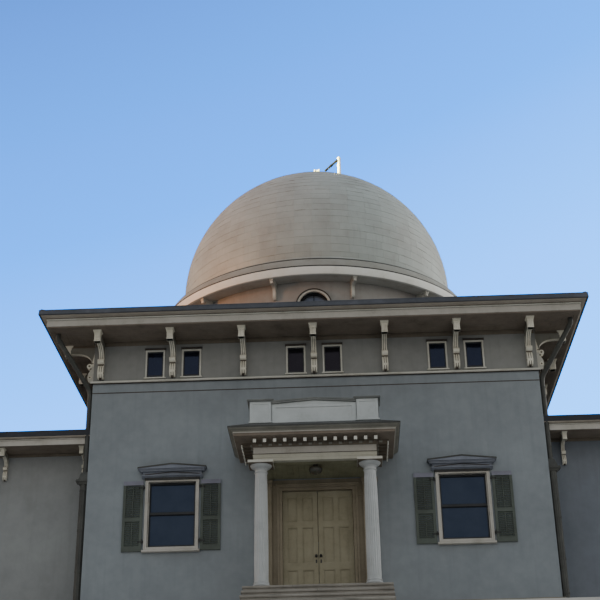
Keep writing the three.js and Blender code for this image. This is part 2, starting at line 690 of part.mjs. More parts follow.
const lampY = -5930;
const lamp = turned([[0, 3100], [60, 3104], [125, 3130], [160, 3175], [172, 3212], [155, 3252],
  [105, 3282], [75, 3290], [75, 3318 - gap], [0, 3318 - gap]], 16).translate(0, lampY, 0);
place('porch_lamp', lamp, milkGlass);

// Rainwater pipes from the front corners of the eave, each through a hopper head

function downpipe(hand) {
  const elbow = [hand * pipeAt.x, pipeAt.y, 5560];
  const hopper = { low: 3290, high: 3450 };
  const foot = [hand * (pipeAt.x + 15), pipeAt.y, wallFoot];
  const hopperBox = block(...spread(hand * (half + gap), hand * (half + 235)), pipeAt.y - 100,
    pipeAt.y + 100, hopper.low + 60, hopper.high);
  const hopperRim = block(...spread(hand * (half + gap), hand * (half + 250)), pipeAt.y - 115,
    pipeAt.y + 115, hopper.high - 30, hopper.high);
  return join(
    rod([hand * 5720, -5530, soffit + 40], elbow, pipeAt.radius),
    rod(elbow, [hand * pipeAt.x, pipeAt.y, hopper.high - 20], pipeAt.radius),
    new THREE.SphereGeometry(pipeAt.radius + 3, 10, 6).translate(...elbow),
    hopperBox, hopperRim,
    rod([foot[0], foot[1], hopper.low + 80], foot, 76, 12),
  );
}
const underEave = block(-7000, 7000, -7000, 7000, soffit - gap, soffit + 500);
place('downpipe_left', cut(downpipe(-1), underEave), roofMetal);
place('downpipe_right', cut(downpipe(1), underEave), roofMetal);

// Wings: drawn for the right-hand side and mirrored for the left

function mirrored(geometry) {
  const copy = geometry.clone().scale(-1, 1, 1);
  const order = copy.index.array;
  for (let i = 0; i < order.length; i += 3) [order[i], order[i + 1]] = [order[i + 1], order[i]];
  return copy;
}

const wingWallTop = wingSoffit - gap;
const wingMiddleY = (wingFront + wingBack) / 2;
const wingBracketX = { left: [5260, 7050, 8845, 10640], right: [5500, 7210, 8925, 10640] };
const endBracketPitch = 2115;
const endWindowY = [-0.5, 0.5].map((i) => wingMiddleY + i * endBracketPitch);
const turnedAbout = (geometry, turns, x, y) => quarter(geometry, turns).translate(x, y, 0);
const wingWindows = (drawn, x) => [
  turnedAbout(drawn, 0, x, wingFront),
  ...endWindowY.map((y) => turnedAbout(drawn, 1, wingEnd, y)),
  turnedAbout(drawn, 2, x, wingBack),
];
// the front and back windows stand midway between the middle brackets
function wingWalls(bracketsAt) {
  const x = (bracketsAt[1] + bracketsAt[2]) / 2;
  const shell = cut(
    block(half + gap, wingEnd, wingFront, wingBack, wallFoot, wingWallTop),
    block(half - 100, wingEnd - wingThick, wingFront + wingThick, wingBack - wingThick, 0, 6000),
    ...wingWindows(windowHole(0, 0, wingThick), x),
  );
  return join(shell, ...wingWindows(windowUnit(0, 0, builtIn), x));
}

const paneLevels = [glassBottom - 60, glassTop + 60];
const wingGlass = edging([[-wingThick - 6, paneLevels[0]], [-wingThick - gap, paneLevels[0]],
  [-wingThick - gap, paneLevels[1]], [-wingThick - 6, paneLevels[1]]],
[[half + 500, wingFront], [wingEnd, wingFront], [wingEnd, wingBack], [half + 500, wingBack]]);

const wingCorners = [[half + gap, wingFront], [wingEnd, wingFront], [wingEnd, wingBack],
  [half + gap, wingBack]];
const wingEndBracketY = [-2, -1, 0, 1, 2].map((i) => wingMiddleY + i * endBracketPitch);
const wingBracketFoot = 3680;
const wingEave = (bracketsAt) => join(
  edging([[gap, wingSoffit], [640, wingSoffit], [640, wingSoffit + 92], [662, wingSoffit + 100],
    [676, wingSoffit + 112], [676, wingSoffit + 146], [692, wingSoffit + 154],
    [715, wingEaveTop], [gap, wingEaveTop]], wingCorners),
  ...bracketsAt.map((x) => bracket(x, wingFront, wingBracketFoot, wingSoffit + 5, 500, 95)),
  ...bracketsAt.map((x) => turnedAbout(
    bracket(0, 0, wingBracketFoot, wingSoffit + 5, 500, 95), 2, x, wingBack)),
  ...wingEndBracketY.map((y) => turnedAbout(
    bracket(0, 0, wingBracketFoot, wingSoffit + 5, 500, 95), 1, wingEnd, y)),
);

const roofFront = wingFront - wingOut;
const roofBack = wingBack + wingOut;
const roofEnd = wingEnd + wingOut;
const ridgeY = (roofFront + roofBack) / 2;
const halfSpan = (roofBack - roofFront) / 2;
const ridgeZ = wingGutterTop + halfSpan * Math.tan(roofPitch);
function wingRoofShape() {
  const slope = [[roofFront, wingEaveTop + gap], [roofBack, wingEaveTop + gap],
    [roofBack, wingGutterTop], [ridgeY, ridgeZ], [roofFront, wingGutterTop]];
  const gable = alongX(outline(slope), half + gap, roofEnd);
  const hipSide = [[roofEnd + 10, wingGutterTop], [roofEnd + 10, ridgeZ + 100],
    [roofEnd - halfSpan, ridgeZ + 100], [roofEnd - halfSpan, ridgeZ]];
  const hip = alongY(outline([[roofEnd, wingGutterTop], ...hipSide.slice(0, 3),
    [roofEnd - halfSpan, ridgeZ]]), roofFront - 10, roofBack + 10);
  const ceilingPiece = block(half + gap, wingEnd - gap, wingFront + gap, wingBack - gap,
    wingSoffit + gap, wingEaveTop + 5);
  return join(cut(gable, hip), ceilingPiece);
}
const pipeNotch = notch(1, -5, 4000, 6000);

for (const [name, hand] of Object.entries(handed)) {
  const side = (geometry) => (hand > 0 ? geometry : mirrored(geometry));
  place(`${name}_wing_walls`, side(wingWalls(wingBracketX[name])), stucco);
  place(`${name}_wing_glass`, side(wingGlass), paleGlass);
  place(`${name}_wing_eave`, side(cut(wingEave(wingBracketX[name]), pipeNotch)), timberPaint);
  place(`${name}_wing_roof`, side(cut(wingRoofShape(), pipeNotch)), roofMetal);
}

export default building;
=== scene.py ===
# Observatory dome: finer joinery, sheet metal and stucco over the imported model.
# Metres, +Z up, the entrance front faces -Y and the dome turns about the Z axis.
import json
import math
import random
import bpy
import bmesh
from mathutils import Matrix, Vector


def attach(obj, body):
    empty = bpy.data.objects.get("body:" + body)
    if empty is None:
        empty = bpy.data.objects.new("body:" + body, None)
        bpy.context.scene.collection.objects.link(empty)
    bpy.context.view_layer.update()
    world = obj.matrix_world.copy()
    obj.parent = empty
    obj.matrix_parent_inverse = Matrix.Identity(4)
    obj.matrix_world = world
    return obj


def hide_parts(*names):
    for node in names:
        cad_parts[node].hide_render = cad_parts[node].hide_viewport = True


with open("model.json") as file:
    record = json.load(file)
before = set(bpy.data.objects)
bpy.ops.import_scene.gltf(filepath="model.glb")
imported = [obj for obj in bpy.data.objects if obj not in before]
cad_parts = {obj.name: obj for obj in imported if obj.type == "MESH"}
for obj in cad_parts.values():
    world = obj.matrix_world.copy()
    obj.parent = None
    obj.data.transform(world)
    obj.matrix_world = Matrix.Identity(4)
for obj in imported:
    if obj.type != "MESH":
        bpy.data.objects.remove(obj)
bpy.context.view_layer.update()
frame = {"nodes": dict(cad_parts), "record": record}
nodes = frame["nodes"]
print("frame loaded:", len(nodes), "nodes")

# Shapes: brick, loft and the functions like them give the vertices and faces of one closed solid, in metres.

gap = 0.0003  # a finer piece stands this far off what carries it, so that no two faces share a plane
boxFaces = [(0, 2, 3, 1), (4, 5, 7, 6), (0, 1, 5, 4), (2, 6, 7, 3), (0, 4, 6, 2), (1, 3, 7, 5)]


def brick(x0, x1, y0, y1, z0, z1):
    return [(x, y, z) for z in (z0, z1) for y in (y0, y1) for x in (x0, x1)], boxFaces


def loft(verts, rows, closed=False):
    # a skin over rows that hold the same number of points each, with an end at each side if not closed
    n = len(verts) // rows
    faces = [(i * n + j, i * n + (j + 1) % n, (i + 1) % rows * n + (j + 1) % n, (i + 1) % rows * n + j)
             for i in range(rows if closed else rows - 1) for j in range(n)]
    if not closed:
        faces += [tuple(range(n)), tuple(range(rows * n - 1, (rows - 1) * n - 1, -1))]
    return verts, faces


def prism(outline, along, low, high):
    # an outline in (y, z), (x, z) or (x, y) pulled along x, y or z
    order = {"x": (2, 0, 1), "y": (0, 2, 1), "z": (0, 1, 2)}[along]
    return loft([tuple((u, v, t)[i] for i in order) for t in (low, high) for u, v in outline], 2)


def sweep(profile, corners, closed=False):
    # (distance out, height) points along a line of corners in plan, mitred; out is on the right
    places = [Vector(c) for c in corners]
    count = len(places)
    ways = [(places[(i + 1) % count] - places[i]).normalized() for i in range(count if closed else count - 1)]
    verts = []
    for i, spot in enumerate(places):
        before = ways[i - 1] if closed or i > 0 else ways[0]
        after = ways[i] if closed or i < len(ways) else ways[-1]
        outA, outB = Vector((before.y, -before.x)), Vector((after.y, -after.x))
        mitre = (outA + outB) / (1 + outA.dot(outB))
        verts += [(spot.x + mitre.x * o, spot.y + mitre.y * o, z) for o, z in profile]
    return loft(verts, count, closed)


def lathe(profile, sides=96, about=(0, 0), start=0, turn=360):
    # (radius, height) points that close on themselves, or start and end on the axis
    full = turn >= 360
    steps = sides if full else sides + 1
    angles = [math.radians(start + turn * i / sides) for i in range(steps)]
    onAxis = profile[0][0] < 1e-9 and profile[-1][0] < 1e-9
    verts, rows = [], []
    for r, z in profile:
        if r < 1e-9:
            rows.append([len(verts)] * steps)
            verts.append((about[0], about[1], z))
        else:
            rows.append(list(range(len(verts), len(verts) + steps)))
            verts += [(about[0] + r * math.cos(a), about[1] + r * math.sin(a), z) for a in angles]
    faces = []
    for k in range(len(rows) - (1 if onAxis else 0)):
        a, b = rows[k], rows[(k + 1) % len(rows)]
        for i in range(sides):
            j = (i + 1) % steps
            corner = [a[i], a[j], b[j], b[i]]
            face = tuple(v for k2, v in enumerate(corner) if v != corner[k2 - 1])
            if len(face) > 2:
                faces.append(face)
    if not full:
        faces += [tuple(row[0] for row in rows), tuple(row[-1] for row in reversed(rows))]
    return verts, faces


def tube(points, radius, sides=16, flutes=0, depth=0.0):
    # a round bar along points; flutes cut shallow grooves down its length
    spots = [Vector(p) for p in points]
    ways = [(b - a).normalized() for a, b in zip(spots, spots[1:])]
    side = ways[0].orthogonal().normalized()
    verts = []
    for i, spot in enumerate(spots):
        way = (ways[max(i - 1, 0)] + ways[min(i, len(ways) - 1)]).normalized()
        side = (side - way * side.dot(way)).normalized()
        up = way.cross(side)
        for k in range(sides):
            a = 2 * math.pi * k / sides
            r = radius - depth * (0.5 - 0.5 * math.cos(a * flutes))
            verts.append(tuple(spot + (side * math.cos(a) + up * math.sin(a)) * r))
    return loft(verts, len(spots))


def bar(a, b, wide, tall):
    # a straight bar with upright sides from a to b, standing on that line
    a, b = Vector(a), Vector(b)
    way = (b - a).normalized()
    side = Vector((-way.y, way.x, 0)).normalized() * wide / 2
    up = Vector((0, 0, tall))
    verts = [tuple(p + s + u) for u in (Vector(), up) for p in (a, b) for s in (-side, side)]
    return verts, boxFaces


def raisedField(x0, x1, z0, z1, back, front, slope):
    # a panel with a bevelled border, upright and square to Y; front is the y of its face
    ring = [(x0, back, z0), (x1, back, z0), (x1, back, z1), (x0, back, z1)]
    face = [(x0 + slope, front, z0 + slope), (x1 - slope, front, z0 + slope),
            (x1 - slope, front, z1 - slope), (x0 + slope, front, z1 - slope)]
    return loft(ring + face, 2)


def holedSlab(u0, u1, z0, z1, y0, y1, holes):
    # a wall in the XZ plane with rectangular holes (u0, u1, z0, z1), as one closed skin
    us = sorted({u0, u1, *[v for h in holes for v in h[:2]]})
    zs = sorted({z0, z1, *[v for h in holes for v in h[2:]]})
    verts, index, faces = [], {}, []

    def at(i, y, k):
        key = (i, y, k)
        if key not in index:
            index[key] = len(verts)
            verts.append((us[i], y, zs[k]))
        return index[key]

    def solid(i, k):
        if not (0 <= i < len(us) - 1 and 0 <= k < len(zs) - 1):
            return False
        u, z = (us[i] + us[i + 1]) / 2, (zs[k] + zs[k + 1]) / 2
        return not any(h[0] < u < h[1] and h[2] < z < h[3] for h in holes)

    for i in range(len(us) - 1):
        for k in range(len(zs) - 1):
            if not solid(i, k):
                continue
            faces.append((at(i, y0, k), at(i + 1, y0, k), at(i + 1, y0, k + 1), at(i, y0, k + 1)))
            faces.append((at(i, y1, k), at(i, y1, k + 1), at(i + 1, y1, k + 1), at(i + 1, y1, k)))
            for di, dk, (a, b) in ((-1, 0, ((0, 0), (0, 1))), (1, 0, ((1, 1), (1, 0))),
                                   (0, -1, ((1, 0), (0, 0))), (0, 1, ((0, 1), (1, 1)))):
                if not solid(i + di, k + dk):
                    faces.append((at(i + a[0], y0, k + a[1]), at(i + b[0], y0, k + b[1]),
                                  at(i + b[0], y1, k + b[1]), at(i + a[0], y1, k + a[1])))
    return verts, faces


def placed(solid, turn=0, shift=(0, 0, 0), flip=False):
    # turned about Z by degrees, then moved; flip mirrors left and right first
    verts, faces = solid
    c, s = math.cos(math.radians(turn)), math.sin(math.radians(turn))
    k = -1 if flip else 1
    made = [(k * x * c - y * s + shift[0], k * x * s + y * c + shift[1], z + shift[2]) for x, y, z in verts]
    return made, [tuple(reversed(f)) for f in faces] if flip else list(faces)


def moved(parts, turn=0, shift=(0, 0, 0), flip=False):
    return [(placed(solid, turn, shift, flip), material) for solid, material in parts]


def between(side, a, b):
    # two distances from the middle as x values in rising order; side is -1 on the left and 1 on the right
    return sorted((side * a, side * b))


def arc(centre, radius, fromDeg, toDeg, count, rise=None):
    # points on a circle, or on an ellipse where rise is given for its upright radius
    angles = [math.radians(fromDeg + (toDeg - fromDeg) * i / count) for i in range(count + 1)]
    return [(centre[0] + radius * math.cos(a), centre[1] + (rise or radius) * math.sin(a)) for a in angles]


def curve(points, steps=4):
    # a smooth line through points, for scroll and cyma profiles
    out = []
    for i in range(len(points) - 1):
        p = [Vector(points[max(0, min(len(points) - 1, i + k))]) for k in (-1, 0, 1, 2)]
        for s in range(steps):
            t = s / steps
            second = (2 * p[0] - 5 * p[1] + 4 * p[2] - p[3]) * t * t
            third = (3 * p[1] - p[0] - 3 * p[2] + p[3]) * t ** 3
            out.append(tuple(0.5 * (2 * p[1] + (p[2] - p[0]) * t + second + third)))
    return out + [tuple(points[-1])]


def closedMesh(name, verts, faces):
    mesh = bpy.data.meshes.new(name)
    mesh.from_pydata(verts, [], faces)
    work = bmesh.new()
    work.from_mesh(mesh)
    bmesh.ops.recalc_face_normals(work, faces=work.faces)
    work.to_mesh(mesh)
    work.free()
    return mesh


def addObject(name, data):
    made = bpy.data.objects.new(name, data)
    bpy.context.scene.collection.objects.link(made)
    return made


def smoothed(mesh, sharp=32):
    mesh.shade_smooth()
    mesh.set_sharp_from_angle(angle=math.radians(sharp))


def makePiece(name, parts, body="building", replaces=(), edge=0, sharp=32, tones=None):
    # parts are (shape, material) or (shape, material, tone); edge rounds the arrises, in metres
    verts, faces, slots, used, tone = [], [], [], [], []
    for (v, f), material, *shade in parts:
        base = len(verts)
        if material not in used:
            used.append(material)
        verts += v
        faces += [tuple(i + base for i in face) for face in f]
        slots += [used.index(material)] * len(f)
        tone += [shade[0] if shade else 0.5] * len(f)
    mesh = closedMesh(name, verts, faces)
    for material in used:
        mesh.materials.append(material)
    mesh.polygons.foreach_set("material_index", slots)
    if tones:
        mesh.attributes.new(tones, "FLOAT", "FACE").data.foreach_set("value", tone)
    smoothed(mesh, sharp)
    obj = addObject(name, mesh)
    if edge:
        bevel = obj.modifiers.new("arris", "BEVEL")
        bevel.width = edge
        bevel.segments = 2
        bevel.limit_method = "ANGLE"
        bevel.angle_limit = math.radians(40)
        bevel.harden_normals = True
    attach(obj, body)
    if replaces:
        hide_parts(*replaces)
    return obj


def carve(obj, cutter):
    # cuts one shape out of a piece for good
    tool = addObject("cutter", closedMesh("cutter", *cutter))
    step = obj.modifiers.new("cut", "BOOLEAN")
    step.operation = "DIFFERENCE"
    step.solver = "EXACT"
    step.object = tool
    made = bpy.data.meshes.new_from_object(obj.evaluated_get(bpy.context.evaluated_depsgraph_get()))
    obj.modifiers.clear()
    obj.data = made
    bpy.data.objects.remove(tool)
    smoothed(made)


# Materials: one function for each way of making a surface, and the colours of this building below them.


def toLinear(hexColour):
    parts = [int(hexColour[i:i + 2], 16) / 255 for i in (1, 3, 5)]
    return (*[p / 12.92 if p <= 0.04045 else ((p + 0.055) / 1.055) ** 2.4 for p in parts], 1)


def addNode(tree, kind, inputs=None, stops=None, **settings):
    made = tree.nodes.new(kind)
    for key, value in settings.items():
        setattr(made, key, value)
    for key, value in (inputs or {}).items():
        if isinstance(value, bpy.types.NodeSocket):
            tree.links.new(value, made.inputs[key])
        else:
            made.inputs[key].default_value = value
    if stops:
        ramp = made.color_ramp
        while len(ramp.elements) < len(stops):
            ramp.elements.new(0.5)
        for element, (spot, colour) in zip(ramp.elements, stops):
            element.position = spot
            element.color = toLinear(colour) if isinstance(colour, str) else (*colour, 1)
    return made


def startMaterial(name):
    material = bpy.data.materials.new(name)
    material.use_nodes = True
    tree = material.node_tree
    tree.nodes.clear()
    where = addNode(tree, "ShaderNodeTexCoord").outputs["Object"]
    return material, tree, where


def endMaterial(tree, **inputs):
    names = {"colour": "Base Color", "roughness": "Roughness", "normal": "Normal", "ior": "IOR",
             "specular": "Specular IOR Level", "specularTint": "Specular Tint",
             "subsurface": "Subsurface Weight"}
    shader = addNode(tree, "ShaderNodeBsdfPrincipled", {names[k]: v for k, v in inputs.items()})
    addNode(tree, "ShaderNodeOutputMaterial", {"Surface": shader.outputs[0]})


def stuccoMaterial(name, look):
    # Lime and cement stucco, floated by hand and limewashed: dead matt and cloudy, with a sandy
    # grain and faint rain streaks, so a big plain wall never reads as one flat tone.
    material, tree, where = startMaterial(name)
    clouds = addNode(tree, "ShaderNodeTexNoise",
                     {"Vector": where, "Scale": 1 / 1.4, "Detail": 6, "Roughness": 0.62})
    patches = addNode(tree, "ShaderNodeTexNoise",
                      {"Vector": where, "Scale": 1 / 0.22, "Detail": 5, "Roughness": 0.6})
    stretch = addNode(tree, "ShaderNodeMapping", {"Vector": where, "Scale": (1 / 0.12, 1 / 0.12, 1 / 1.9)})
    streaks = addNode(tree, "ShaderNodeTexNoise", {"Vector": stretch.outputs[0], "Scale": 1, "Detail": 4})
    # sand grain is 1 to 2 mm; drawn at 9 mm so that it shows
    grain = addNode(tree, "ShaderNodeTexNoise", {"Vector": where, "Scale": 1 / 0.009, "Detail": 3})
    wave = addNode(tree, "ShaderNodeTexNoise", {"Vector": where, "Scale": 1 / 0.35, "Detail": 2})
    tone = addNode(tree, "ShaderNodeValToRGB", {"Fac": clouds.outputs["Fac"]},
                   stops=[(0.34, look["low"]), (0.5, look["mid"]), (0.66, look["high"])])
    spots = addNode(tree, "ShaderNodeValToRGB", {"Fac": patches.outputs["Fac"]},
                    stops=[(0.36, look["low"]), (0.62, look["high"])])
    patched = addNode(tree, "ShaderNodeMix", {"Factor": 0.32, 6: tone.outputs[0], 7: spots.outputs[0]},
                      data_type="RGBA")
    marks = addNode(tree, "ShaderNodeMapRange",
                    {"Value": streaks.outputs["Fac"], "From Min": 0.52, "From Max": 0.78,
                     "To Min": 0.0, "To Max": look["streak"]})
    streaked = addNode(tree, "ShaderNodeMix", {"Factor": marks.outputs[0], 6: patched.outputs[2],
                                               7: toLinear(look["stain"])}, data_type="RGBA")
    colour = streaked.outputs[2]
    if "above" in look:
        # the band between string course and eave is tinted warmer and a little darker: painted shade under
        # the eave, with a warm cast of bounced light
        split = addNode(tree, "ShaderNodeSeparateXYZ", {"Vector": where})
        upper = addNode(tree, "ShaderNodeMath", {0: split.outputs["Z"], 1: look["above"]["from"]},
                        operation="GREATER_THAN")
        colour = addNode(tree, "ShaderNodeMix", {"Factor": upper.outputs[0], 6: colour,
                                                 7: (*look["above"]["tint"], 1)},
                         data_type="RGBA", blend_type="MULTIPLY").outputs[2]
    rough = addNode(tree, "ShaderNodeBump",
                    {"Strength": 0.35, "Distance": 0.002, "Height": grain.outputs["Fac"]})
    uneven = addNode(tree, "ShaderNodeBump",
                     {"Strength": 0.5, "Distance": 0.006, "Height": wave.outputs["Fac"],
                      "Normal": rough.outputs[0]})
    endMaterial(tree, colour=colour, roughness=0.93, specular=0.25, normal=uneven.outputs[0])
    return material


def paintMaterial(name, look):
    # Oil paint on planed softwood, brushed on over many years: a soft low gloss, fine brush marks
    # along the boards, chalked patches and dirt that gathers where rain doesn't reach.
    material, tree, where = startMaterial(name)
    dirt = addNode(tree, "ShaderNodeTexNoise",
                   {"Vector": where, "Scale": 1 / 0.45, "Detail": 7, "Roughness": 0.66})
    fine = addNode(tree, "ShaderNodeTexNoise", {"Vector": where, "Scale": 1 / 0.05, "Detail": 4})
    stretch = addNode(tree, "ShaderNodeMapping", {"Vector": where, "Scale": (1 / 0.2, 1 / 0.2, 1 / 0.006)})
    brush = addNode(tree, "ShaderNodeTexNoise", {"Vector": stretch.outputs[0], "Scale": 1, "Detail": 2})
    tone = addNode(tree, "ShaderNodeValToRGB", {"Fac": dirt.outputs["Fac"]},
                   stops=[(0.3, look["grime"]), (0.46, look["mid"]), (0.7, look["light"])])
    chalk = addNode(tree, "ShaderNodeMapRange",
                    {"Value": fine.outputs["Fac"], "From Min": 0.4, "From Max": 0.75,
                     "To Min": 0.0, "To Max": 0.3})
    mixed = addNode(tree, "ShaderNodeMix", {"Factor": chalk.outputs[0], 6: tone.outputs[0],
                                            7: toLinear(look["light"])}, data_type="RGBA")
    gloss = addNode(tree, "ShaderNodeMapRange",
                    {"Value": dirt.outputs["Fac"], "From Min": 0.3, "From Max": 0.7,
                     "To Min": look["rough"] + 0.12, "To Max": look["rough"]})
    marks = addNode(tree, "ShaderNodeBump",
                    {"Strength": 0.22, "Distance": 0.0012, "Height": brush.outputs["Fac"]})
    endMaterial(tree, colour=mixed.outputs[2], roughness=gloss.outputs[0], specular=0.4,
                normal=marks.outputs[0])
    return material


def domeSheetMaterial():
    # Tinplate sheets, folded and painted pale buff-white: an eggshell gloss over slightly buckled
    # metal, each sheet a shade apart, with rain marks running down from the laps.
    look = {"mid": "#9ea4a0", "light": "#a7ada9", "grime": "#959893", "stain": "#83847d", "rough": 0.5}
    material, tree, where = startMaterial("PaintedTinplateSheet")
    sheet = addNode(tree, "ShaderNodeAttribute", attribute_name="sheetTone", attribute_type="GEOMETRY")
    clouds = addNode(tree, "ShaderNodeTexNoise",
                     {"Vector": where, "Scale": 1 / 0.9, "Detail": 6, "Roughness": 0.6})
    stretch = addNode(tree, "ShaderNodeMapping", {"Vector": where, "Scale": (1 / 0.07, 1 / 0.07, 1 / 0.9)})
    runs = addNode(tree, "ShaderNodeTexNoise", {"Vector": stretch.outputs[0], "Scale": 1, "Detail": 5})
    buckle = addNode(tree, "ShaderNodeTexNoise", {"Vector": where, "Scale": 1 / 0.3, "Detail": 1})
    shade = addNode(tree, "ShaderNodeMath", {0: sheet.outputs["Fac"], 1: 0.12}, operation="MULTIPLY")
    both = addNode(tree, "ShaderNodeMath", {0: clouds.outputs["Fac"], 1: 0.88, 2: shade.outputs[0]},
                   operation="MULTIPLY_ADD")
    tone = addNode(tree, "ShaderNodeValToRGB", {"Fac": both.outputs[0]},
                   stops=[(0.36, look["grime"]), (0.52, look["mid"]), (0.7, look["light"])])
    marks = addNode(tree, "ShaderNodeMapRange",
                    {"Value": runs.outputs["Fac"], "From Min": 0.55, "From Max": 0.8,
                     "To Min": 0.0, "To Max": 0.3})
    stained = addNode(tree, "ShaderNodeMix", {"Factor": marks.outputs[0], 6: tone.outputs[0],
                                              7: toLinear(look["stain"])}, data_type="RGBA")
    dents = addNode(tree, "ShaderNodeBump",
                    {"Strength": 0.5, "Distance": 0.006, "Height": buckle.outputs["Fac"]})
    endMaterial(tree, colour=stained.outputs[2], roughness=look["rough"], specular=0.45,
                normal=dents.outputs[0])
    return material


def darkSheetMaterial(name, look):
    # Terne-coated sheet, painted dark and left to weather: low gloss, chalky bloom in blotches.
    material, tree, where = startMaterial(name)
    bloom = addNode(tree, "ShaderNodeTexNoise",
                    {"Vector": where, "Scale": 1 / 0.6, "Detail": 8, "Roughness": 0.7})
    spots = addNode(tree, "ShaderNodeTexNoise", {"Vector": where, "Scale": 1 / 0.04, "Detail": 3})
    tone = addNode(tree, "ShaderNodeValToRGB", {"Fac": bloom.outputs["Fac"]},
                   stops=[(0.35, look["dark"]), (0.55, look["mid"]), (0.72, look["bloom"])])
    gloss = addNode(tree, "ShaderNodeMapRange",
                    {"Value": spots.outputs["Fac"], "From Min": 0.3, "From Max": 0.7,
                     "To Min": look["rough"], "To Max": look["rough"] + 0.2})
    dents = addNode(tree, "ShaderNodeBump",
                    {"Strength": 0.3, "Distance": 0.003, "Height": bloom.outputs["Fac"]})
    endMaterial(tree, colour=tone.outputs[0], roughness=gloss.outputs[0], specular=0.4,
                normal=dents.outputs[0])
    return material


def stoneMaterial(name, look):
    # Sawn sandstone: matt, with a fine bedded grain, a coarse grit and cloudy patches.
    material, tree, where = startMaterial(name)
    clouds = addNode(tree, "ShaderNodeTexNoise",
                     {"Vector": where, "Scale": 1 / 0.5, "Detail": 7, "Roughness": 0.6})
    stretch = addNode(tree, "ShaderNodeMapping", {"Vector": where, "Scale": (1 / 0.5, 1 / 0.5, 1 / 0.03)})
    beds = addNode(tree, "ShaderNodeTexNoise", {"Vector": stretch.outputs[0], "Scale": 1, "Detail": 4})
    grit = addNode(tree, "ShaderNodeTexNoise", {"Vector": where, "Scale": 1 / 0.006, "Detail": 3})
    patches = addNode(tree, "ShaderNodeMath", {0: clouds.outputs["Fac"], 1: 0.6}, operation="MULTIPLY")
    mixed = addNode(tree, "ShaderNodeMath", {0: beds.outputs["Fac"], 1: 0.4, 2: patches.outputs[0]},
                    operation="MULTIPLY_ADD")
    tone = addNode(tree, "ShaderNodeValToRGB", {"Fac": mixed.outputs[0]},
                   stops=[(0.36, look["dark"]), (0.5, look["mid"]), (0.66, look["light"])])
    rough = addNode(tree, "ShaderNodeBump",
                    {"Strength": 0.4, "Distance": 0.002, "Height": grit.outputs["Fac"]})
    endMaterial(tree, colour=tone.outputs[0], roughness=0.9, specular=0.3, normal=rough.outputs[0])
    return material


def boardMaterial(name, look):
    # Softwood boards, planed and worn: grain lines 3 to 6 mm apart and a shade change board by board.
    material, tree, where = startMaterial(name)
    stretch = addNode(tree, "ShaderNodeMapping", {"Vector": where, "Scale": (1 / 1.2, 1 / 0.005, 1 / 0.005)})
    grain = addNode(tree, "ShaderNodeTexNoise", {"Vector": stretch.outputs[0], "Scale": 0.35, "Detail": 4})
    cells = addNode(tree, "ShaderNodeMapping", {"Vector": where, "Scale": (0.02, 1 / 0.14, 0.02)})
    board = addNode(tree, "ShaderNodeTexVoronoi", {"Vector": cells.outputs[0], "Scale": 1, "Randomness": 0.0})
    value = addNode(tree, "ShaderNodeSeparateColor", {"Color": board.outputs["Color"]})
    fibre = addNode(tree, "ShaderNodeMath", {0: grain.outputs["Fac"], 1: 0.6}, operation="MULTIPLY")
    mixed = addNode(tree, "ShaderNodeMath", {0: value.outputs[0], 1: 0.4, 2: fibre.outputs[0]},
                    operation="MULTIPLY_ADD")
    tone = addNode(tree, "ShaderNodeValToRGB", {"Fac": mixed.outputs[0]},
                   stops=[(0.2, look["dark"]), (0.5, look["mid"]), (0.8, look["light"])])
    lines = addNode(tree, "ShaderNodeBump",
                    {"Strength": 0.25, "Distance": 0.001, "Height": grain.outputs["Fac"]})
    endMaterial(tree, colour=tone.outputs[0], roughness=0.62, normal=lines.outputs[0])
    return material


def windowGlassMaterial(name, look):
    # Drawn cylinder glass: clear and glossy with a slow ripple, dark because the rooms are unlit; its tint
    # gives the reflections a painted colour, sky blue on most panes.
    material, tree, where = startMaterial(name)
    ripple = addNode(tree, "ShaderNodeTexNoise", {"Vector": where, "Scale": 1 / 0.16, "Detail": 1})
    film = addNode(tree, "ShaderNodeTexNoise", {"Vector": where, "Scale": 1 / 0.3, "Detail": 5})
    dust = addNode(tree, "ShaderNodeMapRange",
                   {"Value": film.outputs["Fac"], "From Min": 0.3, "From Max": 0.8,
                    "To Min": 0.03, "To Max": 0.12})
    bend = addNode(tree, "ShaderNodeBump",
                   {"Strength": 0.35, "Distance": 0.002, "Height": ripple.outputs["Fac"]})
    tint = addNode(tree, "ShaderNodeValToRGB", {"Fac": film.outputs["Fac"]},
                   stops=[(0.3, look["clear"]), (0.7, look["dusty"])])
    endMaterial(tree, colour=tint.outputs[0], roughness=dust.outputs[0], ior=1.52, normal=bend.outputs[0],
                specularTint=(*look["tint"], 1))
    return material


def opalGlassMaterial():
    # Opal glass bowl: milky all through, so it glows softly at its rim and has a clear gloss; its colour is
    # painted dark grey for the shade under the porch.
    material, tree, where = startMaterial("OpalGlass")
    cloud = addNode(tree, "ShaderNodeTexNoise", {"Vector": where, "Scale": 1 / 0.09, "Detail": 3})
    tone = addNode(tree, "ShaderNodeValToRGB", {"Fac": cloud.outputs["Fac"]},
                   stops=[(0.3, "#403f38"), (0.7, "#4f4d46")])
    endMaterial(tree, colour=tone.outputs[0], roughness=0.22, ior=1.5, subsurface=0.2)
    return material


